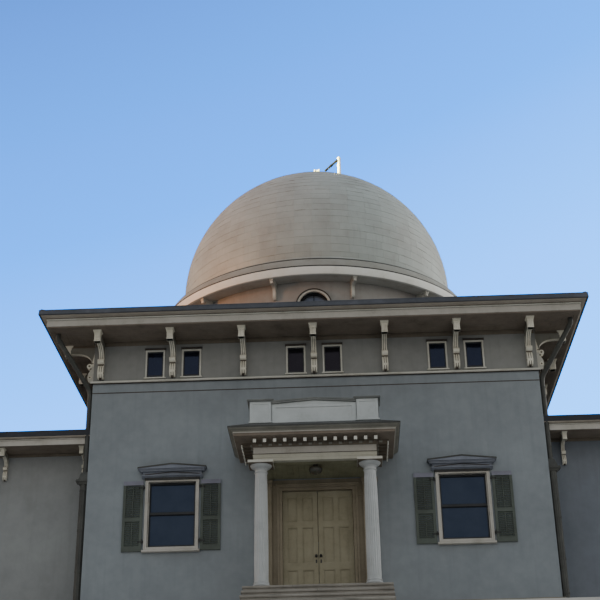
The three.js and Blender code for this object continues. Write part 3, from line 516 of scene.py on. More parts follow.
stucco = stuccoMaterial("FloatedStuccoGrey", {
    "low": "#7c8287", "mid": "#848a8f", "high": "#8c9398", "stain": "#71767b", "streak": 0.3,
    "above": {"from": 5.716, "tint": (1.04, 0.95, 0.85)}})
# the left wing's copy of the stucco, a little lighter than the main walls
stuccoLeftWing = stuccoMaterial("FloatedStuccoLeftWing", {
    "low": "#828484", "mid": "#8a8c8d", "high": "#919494", "stain": "#787978", "streak": 0.3})
# a darker copy of the stucco for the right wing: painted shade
stuccoShadedWing = stuccoMaterial("FloatedStuccoPaintedShade", {
    "low": "#6a7078", "mid": "#71767f", "high": "#777e86", "stain": "#60636b", "streak": 0.3})
# a paler, warmer copy of the stucco for the drum: partly its own pale paint, partly painted low sunlight
stuccoFrieze = stuccoMaterial("FloatedStuccoDrum", {
    "low": "#918c86", "mid": "#9b9793", "high": "#a4a29e", "stain": "#807a73", "streak": 0.3})
trimPaint = paintMaterial("OilPaintCream", {
    "grime": "#aaa69a", "mid": "#bdbbb1", "light": "#cac9c2", "rough": 0.5})
whitePaint = paintMaterial("OilPaintWhite", {
    "grime": "#a6abaa", "mid": "#b4b9ba", "light": "#bfc4c5", "rough": 0.46})
hoodPaint = paintMaterial("OilPaintGrey", {
    "grime": "#5f646b", "mid": "#6e737e", "light": "#7b808c", "rough": 0.55})
eavePaint = paintMaterial("OilPaintCreamWeathered", {
    "grime": "#9a968c", "mid": "#aca8a0", "light": "#b9b5ae", "rough": 0.52})
# a lighter copy of the cream, used on the brackets
bracketPaint = paintMaterial("OilPaintCreamBracket", {
    "grime": "#c2bcac", "mid": "#d9d4c5", "light": "#e5e2d5", "rough": 0.5})
# a darker copy of the cream for the eave crowns and the drum consoles' upper rolls: painted shade
shadedCreamPaint = paintMaterial("OilPaintCreamPaintedShade", {
    "grime": "#8e867c", "mid": "#9e9589", "light": "#aaa196", "rough": 0.55})
columnPaint = paintMaterial("OilPaintOffWhite", {
    "grime": "#999d9d", "mid": "#a6a9aa", "light": "#afb2b4", "rough": 0.48})
ringWhite = paintMaterial("OilPaintFreshWhite", {
    "grime": "#d5d4ca", "mid": "#e2e1d8", "light": "#e8e9e4", "rough": 0.45})
# a dark brown for the soffits and the porch soffit's front: painted shade under the eaves
soffitShadePaint = paintMaterial("OilPaintSoffitPaintedShade", {
    "grime": "#635a4e", "mid": "#73685d", "light": "#7e7367", "rough": 0.6})
# a dark brown for bed mouldings, bracket grooves and notches, modillions and the line under the abacus:
# painted shade
shadeBrownPaint = paintMaterial("OilPaintBrownPaintedShade", {
    "grime": "#554d41", "mid": "#60574b", "light": "#6b6255", "rough": 0.6})
porchPaint = paintMaterial("OilPaintCreamPorch", {
    "grime": "#969485", "mid": "#a8a598", "light": "#b5b3a6", "rough": 0.52})
porchCeiling = paintMaterial("OilPaintCeiling", {
    "grime": "#69654f", "mid": "#78765f", "light": "#86866e", "rough": 0.6})
# a drab for the brackets' upper flanks, the porch cyma and the modillion beads: painted shade
drabShadePaint = paintMaterial("OilPaintDrabPaintedShade", {
    "grime": "#6b6961", "mid": "#79776e", "light": "#84827a", "rough": 0.55})
casePaint = paintMaterial("OilPaintDoorCase", {
    "grime": "#6c6350", "mid": "#79705e", "light": "#857c6b", "rough": 0.52})
doorPaint = paintMaterial("OilPaintBuff", {
    "grime": "#78715b", "mid": "#88826c", "light": "#948e79", "rough": 0.5})
shutterPaint = paintMaterial("FadedShutterPaint", {
    "grime": "#3f443e", "mid": "#4b514b", "light": "#565e57", "rough": 0.68})
shutterRail = paintMaterial("FadedRailPaint", {
    "grime": "#696873", "mid": "#777784", "light": "#81808f", "rough": 0.66})
ringPaint = paintMaterial("OilPaintStone", {
    "grime": "#7a786f", "mid": "#89877d", "light": "#929188", "rough": 0.52})
sashPaint = paintMaterial("OilPaintSashDark", {
    "grime": "#17191c", "mid": "#1e2024", "light": "#26292e", "rough": 0.42})
# a darker colour for strips along the dome's laps: painted shade
lapShadePaint = paintMaterial("LapPaintedShade", {
    "grime": "#706b61", "mid": "#7f7a6f", "light": "#8d897c", "rough": 0.6})
domeSheet = domeSheetMaterial()
roofSheet = darkSheetMaterial("WeatheredTerneDark", {
    "dark": "#3d4047", "mid": "#4a4d55", "bloom": "#5b5e67", "rough": 0.45})
wingSheet = darkSheetMaterial("TarredTerne", {
    "dark": "#1e2127", "mid": "#272930", "bloom": "#33363d", "rough": 0.5})
# brown-painted flashing, also used for dark strips that are painted shade: eave quirks, under the string
# course, round the drum arches, the bracket drops
flashingAndShadeBrown = darkSheetMaterial("BrownFlashingAndPaintedShade", {
    "dark": "#2c251f", "mid": "#3a322b", "bloom": "#4d453d", "rough": 0.5})
redOxide = darkSheetMaterial("RedOxidePaintedIron", {
    "dark": "#2e1f1e", "mid": "#3c2a28", "bloom": "#4f3d39", "rough": 0.55})
porchLead = darkSheetMaterial("WeatheredLeadApron", {
    "dark": "#323331", "mid": "#40413e", "bloom": "#50514d", "rough": 0.5})
copingLead = darkSheetMaterial("WeatheredLeadCoping", {
    "dark": "#616463", "mid": "#717472", "bloom": "#888986", "rough": 0.5})
# black-painted iron, also used for dark strips that are painted shade: the gaps in the dome ring and under
# the window hoods
blackIronAndShade = darkSheetMaterial("BlackIronAndPaintedShade", {
    "dark": "#191919", "mid": "#242424", "bloom": "#3a3835", "rough": 0.4})
plinthStone = stoneMaterial("SawnSandstone", {
    "dark": "#6a665d", "mid": "#7f7a6f", "light": "#918c80"})
stepStone = stoneMaterial("WornStepStone", {
    "dark": "#706d67", "mid": "#86827b", "light": "#98948d"})
plinthMortar = stoneMaterial("PlinthMortar", {
    "dark": "#4f4c46", "mid": "#5c5851", "light": "#69655d"})
floorBoards = boardMaterial("WornPineBoards", {
    "dark": "#5a452f", "mid": "#7a6044", "light": "#947853"})
windowGlass = windowGlassMaterial("CylinderGlass", {
    "clear": "#22272b", "dusty": "#2c3237", "tint": (0.4, 0.55, 1.0)})
friezeGlass = windowGlassMaterial("CylinderGlassClean", {
    "clear": "#0d0f16", "dusty": "#161a25", "tint": (0.4, 0.49, 0.86)})
shadedGlass = windowGlassMaterial("CylinderGlassShaded", {
    "clear": "#0e0e10", "dusty": "#18181b", "tint": (0.4, 0.36, 0.48)})
# pale grey panes for the drum, set deep under the arches: a painted reflection
drumGlass = windowGlassMaterial("CylinderGlassPaintedReflection", {
    "clear": "#5b5e64", "dusty": "#6f7279", "tint": (0.4, 0.55, 1.0)})
opalGlass = opalGlassMaterial()
print("materials made")

bySlot = {"stucco": stucco, "dressed_stone": plinthStone, "timber_boards": floorBoards,
          "trim_paint": trimPaint, "white_paint": whitePaint, "roof_metal": roofSheet,
          "dome_metal": domeSheet, "shutter_paint": shutterPaint, "door_paint": doorPaint,
          "window_glass": windowGlass, "opal_glass": opalGlass, "iron": blackIronAndShade}
for part in frame["record"]["subparts"]:
    nodes[part["node"]].data.materials.clear()
    nodes[part["node"]].data.materials.append(bySlot[part["material_slot"]])
for name in ("left_wing_roof", "right_wing_roof"):
    nodes[name].data.materials[0] = wingSheet

# Dome: lapped sheets over a skin with the slit cut through it, the storm skirt and the slit's cover.

dome = {"centre": 10.021, "radius": 3.627, "outer": 3.62, "inner": 3.547, "lap": 0.215, "sheet": 0.46,
        "firstLap": -0.531, "slitHalf": 0.45, "slitBack": -94, "slitFront": 17.5, "cover": 0.525}
coverEdge = dome["cover"] + 0.012  # the sheets stop this far from the middle of the slit


def onDome(lift, lat, azimuth):
    r = dome["radius"] + lift
    return (r * math.cos(lat) * math.cos(azimuth), r * math.cos(lat) * math.sin(azimuth),
            dome["centre"] + r * math.sin(lat))


def hoopBar(profile, fromDeg, toDeg, count):
    # (x, radius) points carried over the dome from back to front; degrees from the zenith
    verts = []
    for i in range(count + 1):
        a = math.radians(fromDeg + (toDeg - fromDeg) * i / count)
        verts += [(x, -r * math.sin(a), dome["centre"] + r * math.cos(a)) for x, r in profile]
    return loft(verts, count + 1)


def underCover(point):
    x, y, z = point
    angle = math.degrees(math.atan2(-y, z - dome["centre"]))
    return abs(x) < coverEdge and (-97 < angle < dome["slitFront"] + 1.4)


def oneSheet(lat0, lat1, az0, az1, proud, up=2):
    # one sheet lapped over the row below: its lower edge stands proud and its upper edge is tucked in
    across = max(2, round((az1 - az0) / 0.07))
    rows = []
    for top in (True, False):
        for j in range(up + 1):
            for i in range(across + 1):
                lat = lat0 + (lat1 - lat0) * j / up
                az = az0 + (az1 - az0) * i / across
                lift = (proud - (proud + 0.001) * j / up) if top else -0.008
                spot = onDome(lift, lat, az)
                if underCover(spot):
                    x = math.copysign(coverEdge, math.cos((az0 + az1) / 2))
                    keep = spot[0] ** 2 + spot[1] ** 2
                    spot = (x, math.copysign(math.sqrt(max(keep - x * x, 0)), spot[1]), spot[2])
                rows.append(spot)
    if all(abs(abs(p[0]) - coverEdge) < 1e-6 for p in rows):
        return None
    w = across + 1
    half = w * (up + 1)
    faces = []
    for j in range(up):
        for i in range(across):
            a = j * w + i
            faces.append((a, a + 1, a + w + 1, a + w))
            faces.append((half + a, half + a + w, half + a + w + 1, half + a + 1))
    edge = list(range(w)) + [j * w + across for j in range(1, up + 1)]
    edge += [up * w + i for i in range(across - 1, -1, -1)] + [j * w for j in range(up - 1, 0, -1)]
    for a, b in zip(edge, edge[1:] + edge[:1]):
        faces.append((a, half + a, half + b, b))
    return rows, faces


skirt = [(3.5, 9.276), (3.64, 9.276), (3.64, 9.2545), (3.76, 9.2545), (3.76, 9.276), (4.03, 9.276),
         (4.04, 9.282), (4.04, 9.298)]
skirt += curve([(4.03, 9.303), (3.9, 9.345), (3.76, 9.408), (3.672, 9.478), (3.6, 9.56)], 5)[:-1]
springing = math.degrees(math.asin((9.56 - dome["centre"]) / dome["outer"]))
outside = skirt + arc((0, dome["centre"]), dome["outer"], springing, 90, 40)[:-1]
outside += [(0, dome["centre"] + dome["outer"])]
inside = arc((0, dome["centre"]), dome["inner"], springing, 90, 24)[:-1]
shellLoop = [(0, dome["centre"] + dome["inner"])] + inside[::-1] + [(3.5, 9.4)] + outside
shell = makePiece("dome_skin", [(lathe(shellLoop, 128), domeSheet, 0.5)], "dome",
                  ("dome_shell_left", "dome_shell_right"), tones="sheetTone")
slitHalf = dome["slitHalf"]
slitShape = [(-slitHalf, 3.3), (slitHalf, 3.3), (slitHalf, 3.9), (-slitHalf, 3.9)]
carve(shell, hoopBar(slitShape, dome["slitBack"], dome["slitFront"], 48))

chance = random.Random(7)
sheets = []
arcLength = math.pi / 2 * dome["radius"]
row = 0
low = dome["firstLap"]
while low < arcLength - 0.1:
    high = min(low + dome["lap"], arcLength)
    lat0, lat1 = low / dome["radius"], (high - 0.002) / dome["radius"]
    around = max(6, round(2 * math.pi * math.cos((lat0 + lat1) / 2) * dome["radius"] / dome["sheet"]))
    joint = 0.001 / (dome["radius"] * max(math.cos(lat0), 0.05))
    for k in range(around):
        az0 = math.radians(90) + 2 * math.pi * (k + 0.5 * (row % 2)) / around
        az1 = az0 + 2 * math.pi / around - joint
        sheet = oneSheet(lat0, min(lat1, math.radians(89.5)), az0 + joint, az1,
                         chance.choice((0, 0.001, 0.003)))
        if sheet:
            sheets.append((sheet, domeSheet, chance.uniform(0.15, 0.85)))
        # about a quarter of the laps get a thin dark strip along their lower edge: painted shade under the
        # lap
        if lat0 < 1.3 and chance.random() < 0.24:
            shadeSpan = sorted(chance.uniform(az0 + joint, az1) for end in (0, 1))
            strip = oneSheet(lat0 - 0.0004, lat0 + chance.uniform(0.0015, 0.003), *shadeSpan, 0.0042, 1)
            if strip and shadeSpan[1] - shadeSpan[0] > 0.03:
                sheets.append((strip, lapShadePaint, 0.5))
    low = high
    row += 1
makePiece("dome_sheets", sheets, "dome", sharp=20, tones="sheetTone")

# storm skirt laps, and the coaming that frames the slit
laps = []
skirtLine = [(r, z) for r, z in skirt if 9.29 < z < 9.5]
for k in range(24):
    inner = [(r - 0.01, z - 0.01) for r, z in reversed(skirtLine)]
    strip = lathe([(r + 0.003, z + 0.003) for r, z in skirtLine] + inner, 1, start=15 * k + 6, turn=0.5)
    laps.append((strip, domeSheet, 0.5))
makePiece("dome_skirt_laps", laps, "dome", tones="sheetTone")
coaming = {"half": 0.51, "low": 3.53, "high": 3.586, "lip": 3.594, "back": -94.8, "front": 18.4}
coamingParts = [hoopBar([(s * slitHalf, coaming["low"]), (s * coaming["half"], coaming["low"]),
                         (s * coaming["half"], coaming["high"]), (s * slitHalf, coaming["lip"])],
                        coaming["back"], coaming["front"], 60) for s in (-1, 1)]
endPlate = [(-coaming["half"], coaming["low"]), (coaming["half"], coaming["low"]),
            (coaming["half"], coaming["high"]), (0, dome["outer"]), (-coaming["half"], coaming["high"])]
coamingParts.append(hoopBar(endPlate, dome["slitFront"], coaming["front"], 2))
coamingParts.append(hoopBar(endPlate, coaming["back"], dome["slitBack"], 2))
makePiece("dome_coaming", [(c, domeSheet, 0.5) for c in coamingParts], "dome",
          tones="sheetTone")

cover = {"dome": 3.631, "stand": 0.012, "rise": 0.08, "taper": 0.55, "back": -95, "front": 18.5, "plates": 13}


def coverRadius(x, lift=0.0):
    # the closed shutter follows the dome at its edges and stands 0.08 m higher over the slit
    swell = cover["rise"] * (1 - min(1, abs(x) / cover["taper"]) ** 4)
    return math.sqrt(cover["dome"] ** 2 - x * x) + cover["stand"] + swell + lift


xs = [-dome["cover"] + dome["cover"] / 10 * i for i in range(21)]
coverLine = [(x, coverRadius(x, -0.02)) for x in xs] + [(x, coverRadius(x)) for x in xs[::-1]]
coverParts = [(hoopBar(coverLine, cover["back"], cover["front"], 90), domeSheet, 0.5)]
for k in range(cover["plates"]):
    a = -92 + 8.6 * k
    plate = [(x, coverRadius(x, -0.004)) for x in xs[1:-1]]
    plate += [(x, coverRadius(x, 0.004)) for x in xs[-2:0:-1]]
    coverParts.append((hoopBar(plate, a, a + 0.5, 2), domeSheet, chance.uniform(0.2, 0.8)))
makePiece("slit_cover_plates", coverParts, "dome", ("slit_cover",), tones="sheetTone")
print("dome done:", len(sheets), "sheets")

# mast with iron straps, the raking stay with its turnbuckle, and the pulley box
mast = {"x": 0.74, "y": -1.1, "foot": 13.375, "top": 14.06}
mastLine = [(0, mast["foot"]), (0.05, mast["foot"]), (0.047, 13.94), (0.053, 13.948), (0.053, 13.962),
            (0.044, 13.968)]
mastLine += arc((0, 14.0053), 0.0545, -42, 78, 10) + [(0, mast["top"] - 0.0002)]
mastParts = [(lathe(mastLine, 28, (mast["x"], mast["y"])), ringWhite)]
for z, w in ((13.5, 0.0498), (13.78, 0.048)):
    band = [(w - 0.006, z), (w + 0.003, z), (w + 0.003, z + 0.025), (w - 0.006, z + 0.025)]
    mastParts.append((lathe(band, 28, (mast["x"], mast["y"])), ringWhite))
makePiece("mast_with_straps", mastParts, "dome", ("shutter_mast",), edge=0.004)
stayFrom, stayTo = Vector((0.716, -1.13, 13.955)), Vector((0.335, -1.13, 13.585))
stayWay = stayTo - stayFrom
stay = [(tube([stayFrom + stayWay * 0.08, stayFrom + stayWay * 0.97], 0.033, 14), blackIronAndShade),
        (tube([stayFrom + stayWay * 0.44, stayFrom + stayWay * 0.47, stayFrom + stayWay * 0.57,
               stayFrom + stayWay * 0.6], 0.04, 6), blackIronAndShade),
        (bar(stayFrom, stayFrom + stayWay * 0.12, 0.016, 0.05), blackIronAndShade),
        (bar(stayFrom + stayWay * 0.9, stayTo, 0.016, 0.03), blackIronAndShade)]
makePiece("stay_rod", stay, "dome", ("shutter_stay",), edge=0.002)
pulley = {"x": (0.035, 0.185), "y": (-1.148, -1.052), "z": (13.565, 13.65), "axle": 13.62, "cheek": 0.025}
(boxLeft, boxRight), (boxLow, boxHigh), cheek = pulley["x"], pulley["z"], pulley["cheek"]
box = [(brick(boxLeft, boxLeft + cheek, *pulley["y"], boxLow, boxHigh), ringWhite),
       (brick(boxRight - cheek, boxRight, *pulley["y"], boxLow, boxHigh), ringWhite),
       (brick(boxLeft, boxRight, *pulley["y"], boxLow, boxLow + 0.02), ringWhite),
       (tube([(0.03, mast["y"], pulley["axle"]), (0.19, mast["y"], pulley["axle"])], 0.012, 12), redOxide),
       (tube([(0.062, mast["y"], pulley["axle"]), (0.158, mast["y"], pulley["axle"])], 0.034, 28), ringWhite)]
makePiece("pulley_box", box, "dome", ("shutter_pulley",), edge=0.003)
print("dome gear done")

# Drum: the ring that the dome turns on, and the round wall with an arched window on each side.

turns = {"front": 0, "right": 90, "back": 180, "left": 270}
sides = {"left": -1, "right": 1}
drum = {"out": 3.85, "in": 3.6, "foot": 6.9663, "top": 8.7347, "half": 0.36, "sill": 7.72, "spring": 8.085}
onDrum = drum["out"] + gap
ring = {"low": 8.7353, "lip": 8.943, "line": 9.229, "top": 9.2536}


def ringBand(outline, paint):
    # (radius, height) points of the outer side, closed at the drum's inner face
    low, high = outline[0][1], outline[-1][1]
    return lathe([(drum["in"], low)] + outline + [(drum["in"], high)], 160), paint


# the black bands under the curb's lip and under the skirt's edge are painted shade for the gaps there
ringParts = [
    (lathe([(4.195, ring["low"]), (4.25, ring["low"]), (4.258, 8.74), (4.262, 8.75), (4.262, ring["lip"]),
            (4.195, ring["lip"])], 160), ringWhite),
    ringBand([(4.2, 8.7395), (4.2, 8.94)], trimPaint),
    ringBand([(4.2635, ring["lip"]), (4.2635, 8.974)], blackIronAndShade),
    ringBand([(4.261, 8.974), (4.258, 8.987), (4.088, ring["line"])], ringPaint),
    ringBand([(4.075, ring["line"]), (4.073, ring["top"])], blackIronAndShade)]
# upright laps where the sheets of the sloping strip meet
for k in range(36):
    line = [(4.262, 8.975), (4.09, 9.228), (4.08, 9.22), (4.25, 8.972)]
    ringParts.append((lathe(line, 1, start=10 * k + 3, turn=0.25), ringPaint))
console = curve([(0.03, 8.29), (0.05, 8.288), (0.075, 8.31), (0.098, 8.37), (0.096, 8.47)], 4)
console += curve([(0.1, 8.51), (0.12, 8.56), (0.155, 8.592), (0.21, 8.61), (0.27, 8.618), (0.288, 8.63)], 4)
console = [(-drum["out"] - o * 1.14, z) for o, z in [(gap, 8.288)] + console]
console += [(-4.178, 8.70), (-onDrum, 8.70)]
for turn in [half + hand * a for half in (0, 180) for a in (14.1, 42.2, 74) for hand in (-1, 1)]:
    ringParts.append((placed(prism(console, "x", -0.038, 0.038), turn), trimPaint))
    ringParts.append((placed(brick(-0.05, 0.05, -4.192, -onDrum, 8.69, 8.7405), turn), trimPaint))
    ringParts.append((placed(tube([(-0.048, -3.91, 8.36), (0.048, -3.91, 8.36)], 0.03, 16), turn), trimPaint))
    ringParts.append((placed(tube([(-0.046, -4.12, 8.645), (0.046, -4.12, 8.645)], 0.024, 16), turn),
                      shadedCreamPaint))
makePiece("drum_ring", ringParts, "building", ("drum_cornice",), edge=0.003)


def archLine(reach, sill, count=28):
    over = arc((0, drum["spring"]), reach, 180, 0, count)
    return [(-reach, sill)] + over + [(reach, sill)]


def archBand(outer, inner, drop, y0, y1):
    # a band round the arch whose feet stand this far below the sill line
    sill = drum["sill"] - drop
    return prism(archLine(outer, sill) + archLine(inner, sill)[::-1], "y", y0, y1)


for side, turn in turns.items():
    skin = lathe([(drum["in"], drum["foot"]), (drum["out"], drum["foot"]), (drum["out"], drum["top"]),
                  (drum["in"], drum["top"])], 44, start=-135 + turn, turn=90)
    wall = makePiece("drum_skin_" + side, [(skin, stuccoFrieze)], "building", ("drum_wall_" + side,))
    carve(wall, placed(prism(archLine(drum["half"] + 0.02, drum["sill"] - 0.02), "y", -4.2, -3.3), turn))
    # a dark band round each arch is painted shade
    trim = [(archBand(0.412, drum["half"], 0.04, -3.888, -3.82), trimPaint),
            (archBand(0.44, 0.411, 0.04, -3.9, -3.815), flashingAndShadeBrown),
            (archBand(0.382, 0.325, 0.02, -3.77, -3.71), sashPaint),
            (brick(-0.46, 0.46, -3.905, -3.72, drum["sill"] - 0.09, drum["sill"] - 0.035), trimPaint),
            (brick(-0.34, 0.34, -3.76, -3.7, drum["sill"] - 0.04, drum["sill"] + 0.045), sashPaint),
            (brick(-0.012, 0.012, -3.745, -3.7, drum["sill"] + 0.04, drum["spring"] + 0.335), sashPaint),
            (brick(-0.33, 0.33, -3.745, -3.7, drum["spring"] - 0.012, drum["spring"] + 0.012), sashPaint)]
    makePiece("drum_arch_" + side, moved(trim, turn), "building", edge=0.003)
panes = [(placed(prism(archLine(0.33, drum["sill"] - 0.01), "y", -3.712, -3.708), turn), drumGlass)
         for turn in turns.values()]
makePiece("drum_panes", panes, "building", ("drum_glass",))
print("drum done")

# Eaves, brackets and roofs of the square block.

main = {"half": 5.03, "soffit": 6.715, "eaveTop": 6.966, "gutterTop": 7.079, "stringTop": 5.746,
        "roofHalf": 6.117, "bracketX": (-4.85, -3.215, -1.605, 0, 1.605, 3.215, 4.85)}
onWall = main["half"] + gap
square = [(x * main["half"], y * main["half"]) for x, y in ((-1, -1), (1, -1), (1, 1), (-1, 1))]


def boardedSoffit(near, far, z, board=0.115):
    # matched boards along the wall: a V joint 8 mm wide and 6 mm deep between each pair
    count = round((far - near) / board)
    line = [(near, z)]
    for k in range(1, count):
        o = near + (far - near) * k / count
        line += [(o - 0.004, z), (o, z + 0.006), (o + 0.004, z)]
    return line + [(far, z)]


def eaveRun(reach, soffit, s, top, corners, closed, hang=0.0):
    # boarded soffit, flat fascia, a round bead and a cyma crown under the gutter, with dark strips in the
    # quirks between and a dark core behind, all painted shade, and the soffit and crown painted darker for
    # shade too;
    # s scales the mouldings and hang lets the fascia down below the soffit
    back, edge, lip = reach - 0.03 * s, soffit + 0.024 * s - hang, reach - 0.004 * s
    over, top = max(edge, soffit + 0.012), top - gap
    fascia = [(back, edge), (lip, edge), (reach, edge + 0.004), (reach, soffit + 0.163 * s),
              (back, soffit + 0.163 * s)]
    bead = [(back, soffit + 0.174 * s), (lip, soffit + 0.174 * s)]
    bead += arc((lip, soffit + 0.191 * s), 0.018 * s, -80, 80, 8, 0.017 * s) + [(back, soffit + 0.208 * s)]
    crown = [(back, soffit + 0.2175 * s), (reach + 0.014 * s, soffit + 0.2175 * s)]
    crown += curve([(reach + 0.016 * s, soffit + 0.2185 * s), (reach + 0.05 * s, soffit + 0.221 * s),
                    (reach + 0.09 * s, soffit + 0.229 * s), (reach + 0.118 * s, top + gap - 0.01)], 4)
    crown += [(reach + 0.122 * s, top), (back, top)]
    inner = back + 0.012
    boards = boardedSoffit(gap, inner, soffit + gap) + [(inner, over - gap), (gap, over - gap)]
    core = [(gap, over), (inner, over), (inner, top), (gap, top)]
    lowQuirk, highQuirk = [[(back, soffit + z0 * s), (reach + o * s, soffit + z0 * s),
                            (reach + o * s, soffit + z1 * s), (back, soffit + z1 * s)]
                           for z0, z1, o in ((0.1635, 0.1735, -0.016), (0.2085, 0.217, 0.008))]
    return [(sweep(line, corners, closed), paint) for line, paint in
            ((boards, soffitShadePaint), (core, flashingAndShadeBrown), (fascia, eavePaint), (bead, trimPaint),
             (crown, shadedCreamPaint), (lowQuirk, flashingAndShadeBrown), (highQuirk, flashingAndShadeBrown))]


makePiece("main_eave_joinery", eaveRun(0.928, main["soffit"], 1, main["eaveTop"], square, True),
          "building", ("main_eave",), sharp=25)

bracketShape = {
    "scroll": curve([(0.03, 0.05), (0.08, 0.044), (0.128, 0.07), (0.156, 0.13), (0.162, 0.2), (0.15, 0.27),
                     (0.112, 0.335), (0.078, 0.378)], 3),
    "roll": arc((0.13, 0.45), 0.062, -130, 118, 8),
    "sweep": curve([(0.09, 0.522), (0.1, 0.575), (0.13, 0.64), (0.185, 0.695), (0.26, 0.733), (0.345, 0.755),
                    (0.44, 0.765), (0.53, 0.768), (0.59, 0.768)], 3)}


def bracket(wide, reach=1.0, tall=1.0):
    # foot at z = 0 on a wall face at y = 0; deep grooves leave three reeds down its front
    line = [(gap, 0.06)] + bracketShape["scroll"] + bracketShape["roll"] + bracketShape["sweep"]
    line += [(0.59, 0.915), (gap, 0.915)]
    stations = [(-0.41, 0.012), (-0.38, 0.002), (-0.21, 0.0), (-0.19, 0.035), (-0.115, 0.035), (-0.095, 0.0),
                (0.095, 0.0), (0.115, 0.035), (0.19, 0.035), (0.21, 0.0), (0.38, 0.002), (0.41, 0.012)]
    verts = [(w * wide * (1.12 if z < 0.47 else 0.94), -max((o - d) * reach, gap), z * tall)
             for w, d in stations for o, z in line]

    def block(w, y0, y1, z0, z1):
        return brick(-w * wide, w * wide, -y1 * reach, -max(y0 * reach, gap), z0 * tall, z1 * tall)

    def crossBar(w, o, z, r, count):
        return tube([(-w * wide, -o * reach, z * tall), (w * wide, -o * reach, z * tall)], r * tall, count)

    parts = [loft(verts, len(stations))]
    parts += [block(*sizes) for sizes in (
        (0.48, 0.585, 0.702, 0.705, 0.915), (0.51, 0.575, 0.712, 0.705, 0.728),
        (0.5, 0.57, 0.716, 0.872, 0.89), (0.66, 0.53, 0.75, 0.945, 0.9685),
        (0.58, 0.55, 0.735, 0.92, 0.945), (0.52, 0.57, 0.708, 0.89, 0.92))]
    dark = []
    for o, z, r, w in ((0.13, 0.45, 0.058, 0.5), (0.108, 0.17, 0.046, 0.49)):
        parts.append(crossBar(w, o, z, r, 16))
        dark.append(crossBar(w + 0.02, o, z, r * 0.42, 10))
    for w in (-0.28, 0, 0.28):
        parts.append(tube([(w * wide, -0.708 * reach, 0.735 * tall), (w * wide, -0.708 * reach, 0.87 * tall)],
                          0.085 * wide, 8))
    # grooves, volute eyes, notches and the gap behind the head are painted shade; a turned drop at the foot
    # is too
    dark.append(block(0.43, 0.02, 0.57, 0.912, 0.9685))
    flank = []
    lower, upper = [p for p in line[1:-2] if p[1] < 0.47], [p for p in line[1:-2] if p[1] >= 0.47]
    # the flanks are cream below and drab above, where the eave shades them: painted shade
    for half, wider, paint in ((lower, 1.12, trimPaint), (upper, 0.94, drabShadePaint)):
        inset = [(-max(o - 0.006, 0.01) * reach, (z + 0.003) * tall) for o, z in half]
        end = half[-1][1]
        if half is upper:
            end = 0.912
            inset.append((-half[-1][0] * reach + 0.004, end * tall))
        inset += [(-0.008 * reach, end * tall), (-0.008 * reach, half[0][1] * tall)]
        flank += [(prism(inset, "x", side * wide * 0.4 * wider, side * wide * 0.418 * wider), paint)
                  for side in (-1, 1)]
    for run, wider in ((bracketShape["scroll"], 1.12), (bracketShape["sweep"], 0.94)):
        groove = [(-max(o - 0.016, 0.004) * reach, z * tall) for o, z in run]
        groove += [(-max(o - 0.05, 0.002) * reach, z * tall) for o, z in reversed(run)]
        dark += [prism(groove, "x", *between(side, wide * 0.1 * wider, wide * 0.205 * wider))
                 for side in (-1, 1)]
    dark += [block(0.46, 0.04, 0.108, 0.375, 0.397), block(0.46, 0.04, 0.104, 0.505, 0.523)]
    ball = arc((0, 0.034 * tall), 0.033 * tall, -90, 90, 9)
    ball[0], ball[-1] = (0, ball[0][1]), (0, ball[-1][1])
    drop = lathe(ball, 12, (0, -0.1 * reach))
    return [(p, bracketPaint) for p in parts] + [(p, shadeBrownPaint) for p in dark] + flank + [(drop, flashingAndShadeBrown)]


for side, turn in turns.items():
    parts = []
    for x in main["bracketX"]:
        parts += moved(moved(bracket(0.14), 0, (x, -main["half"], main["stringTop"])), turn)
    # the bed mould at the wall is painted dark brown for shade
    bed = [(gap, -0.098), (0.012, -0.098), (0.016, -0.088), (0.03, -0.07), (0.034, -0.05), (0.034, -0.004),
           (gap, -0.004)]
    bed = [(o, main["soffit"] + z) for o, z in bed]
    parts.append((placed(sweep(bed, [(-5.01, -main["half"]), (5.01, -main["half"])]), turn), shadeBrownPaint))
    makePiece("bracket_row_" + side, parts, "building", ("brackets_" + side,))
print("eave and brackets done")

pitchUp = math.tan(math.radians(10))


def roofSeams(halfSpan, plane, keepOut=0):
    # standing seams up one slope of a pyramid roof, 35 mm high and 0.5 m apart
    seams = []
    for k in range(-int((halfSpan - 0.1) / 0.5), int((halfSpan - 0.1) / 0.5) + 1):
        x = 0.5 * k
        end = abs(x) + 0.02
        if keepOut and abs(x) < keepOut:
            end = max(end, math.sqrt(keepOut ** 2 - x * x))
        if end > halfSpan - 0.2:
            continue
        a = (x, -halfSpan + 0.14, plane + 0.14 * pitchUp - 0.006)
        b = (x, -end, plane + (halfSpan - end) * pitchUp - 0.006)
        seams.append(bar(a, b, 0.022, 0.036))
    return seams


roofParts = []
for turn in turns.values():
    roofParts += [(placed(s, turn), roofSheet) for s in roofSeams(main["roofHalf"], main["gutterTop"], 3.87)]
    hipFoot, hipHead = (-6.09, -6.09, main["gutterTop"] - 0.01), main["gutterTop"] + 3.34 * pitchUp - 0.006
    roofParts.append((placed(bar(hipFoot, (-2.75, -2.75, hipHead), 0.06, 0.04), turn), roofSheet))
edgeRoll = arc((1.082, main["gutterTop"] - 0.005), 0.012, 0, 330, 11)
edgeDrip = [(1.06, 6.9667), (1.0975, 6.9667), (1.0975, 6.988), (1.09, 6.992), (1.06, 6.992)]
roofParts += [(sweep(line, square, True), roofSheet) for line in (edgeRoll, edgeDrip)]
# flashing where the roof meets the drum
drumLead = [(onDrum, 7.2), (3.862, 7.2), (3.862, 7.62), (3.856, 7.63), (onDrum, 7.63)]
roofParts.append((lathe(drumLead, 96), flashingAndShadeBrown))
makePiece("main_roof_seams", roofParts, "building", edge=0.002)
print("roof seams done")

# String course, frieze windows and the joint in the wall.

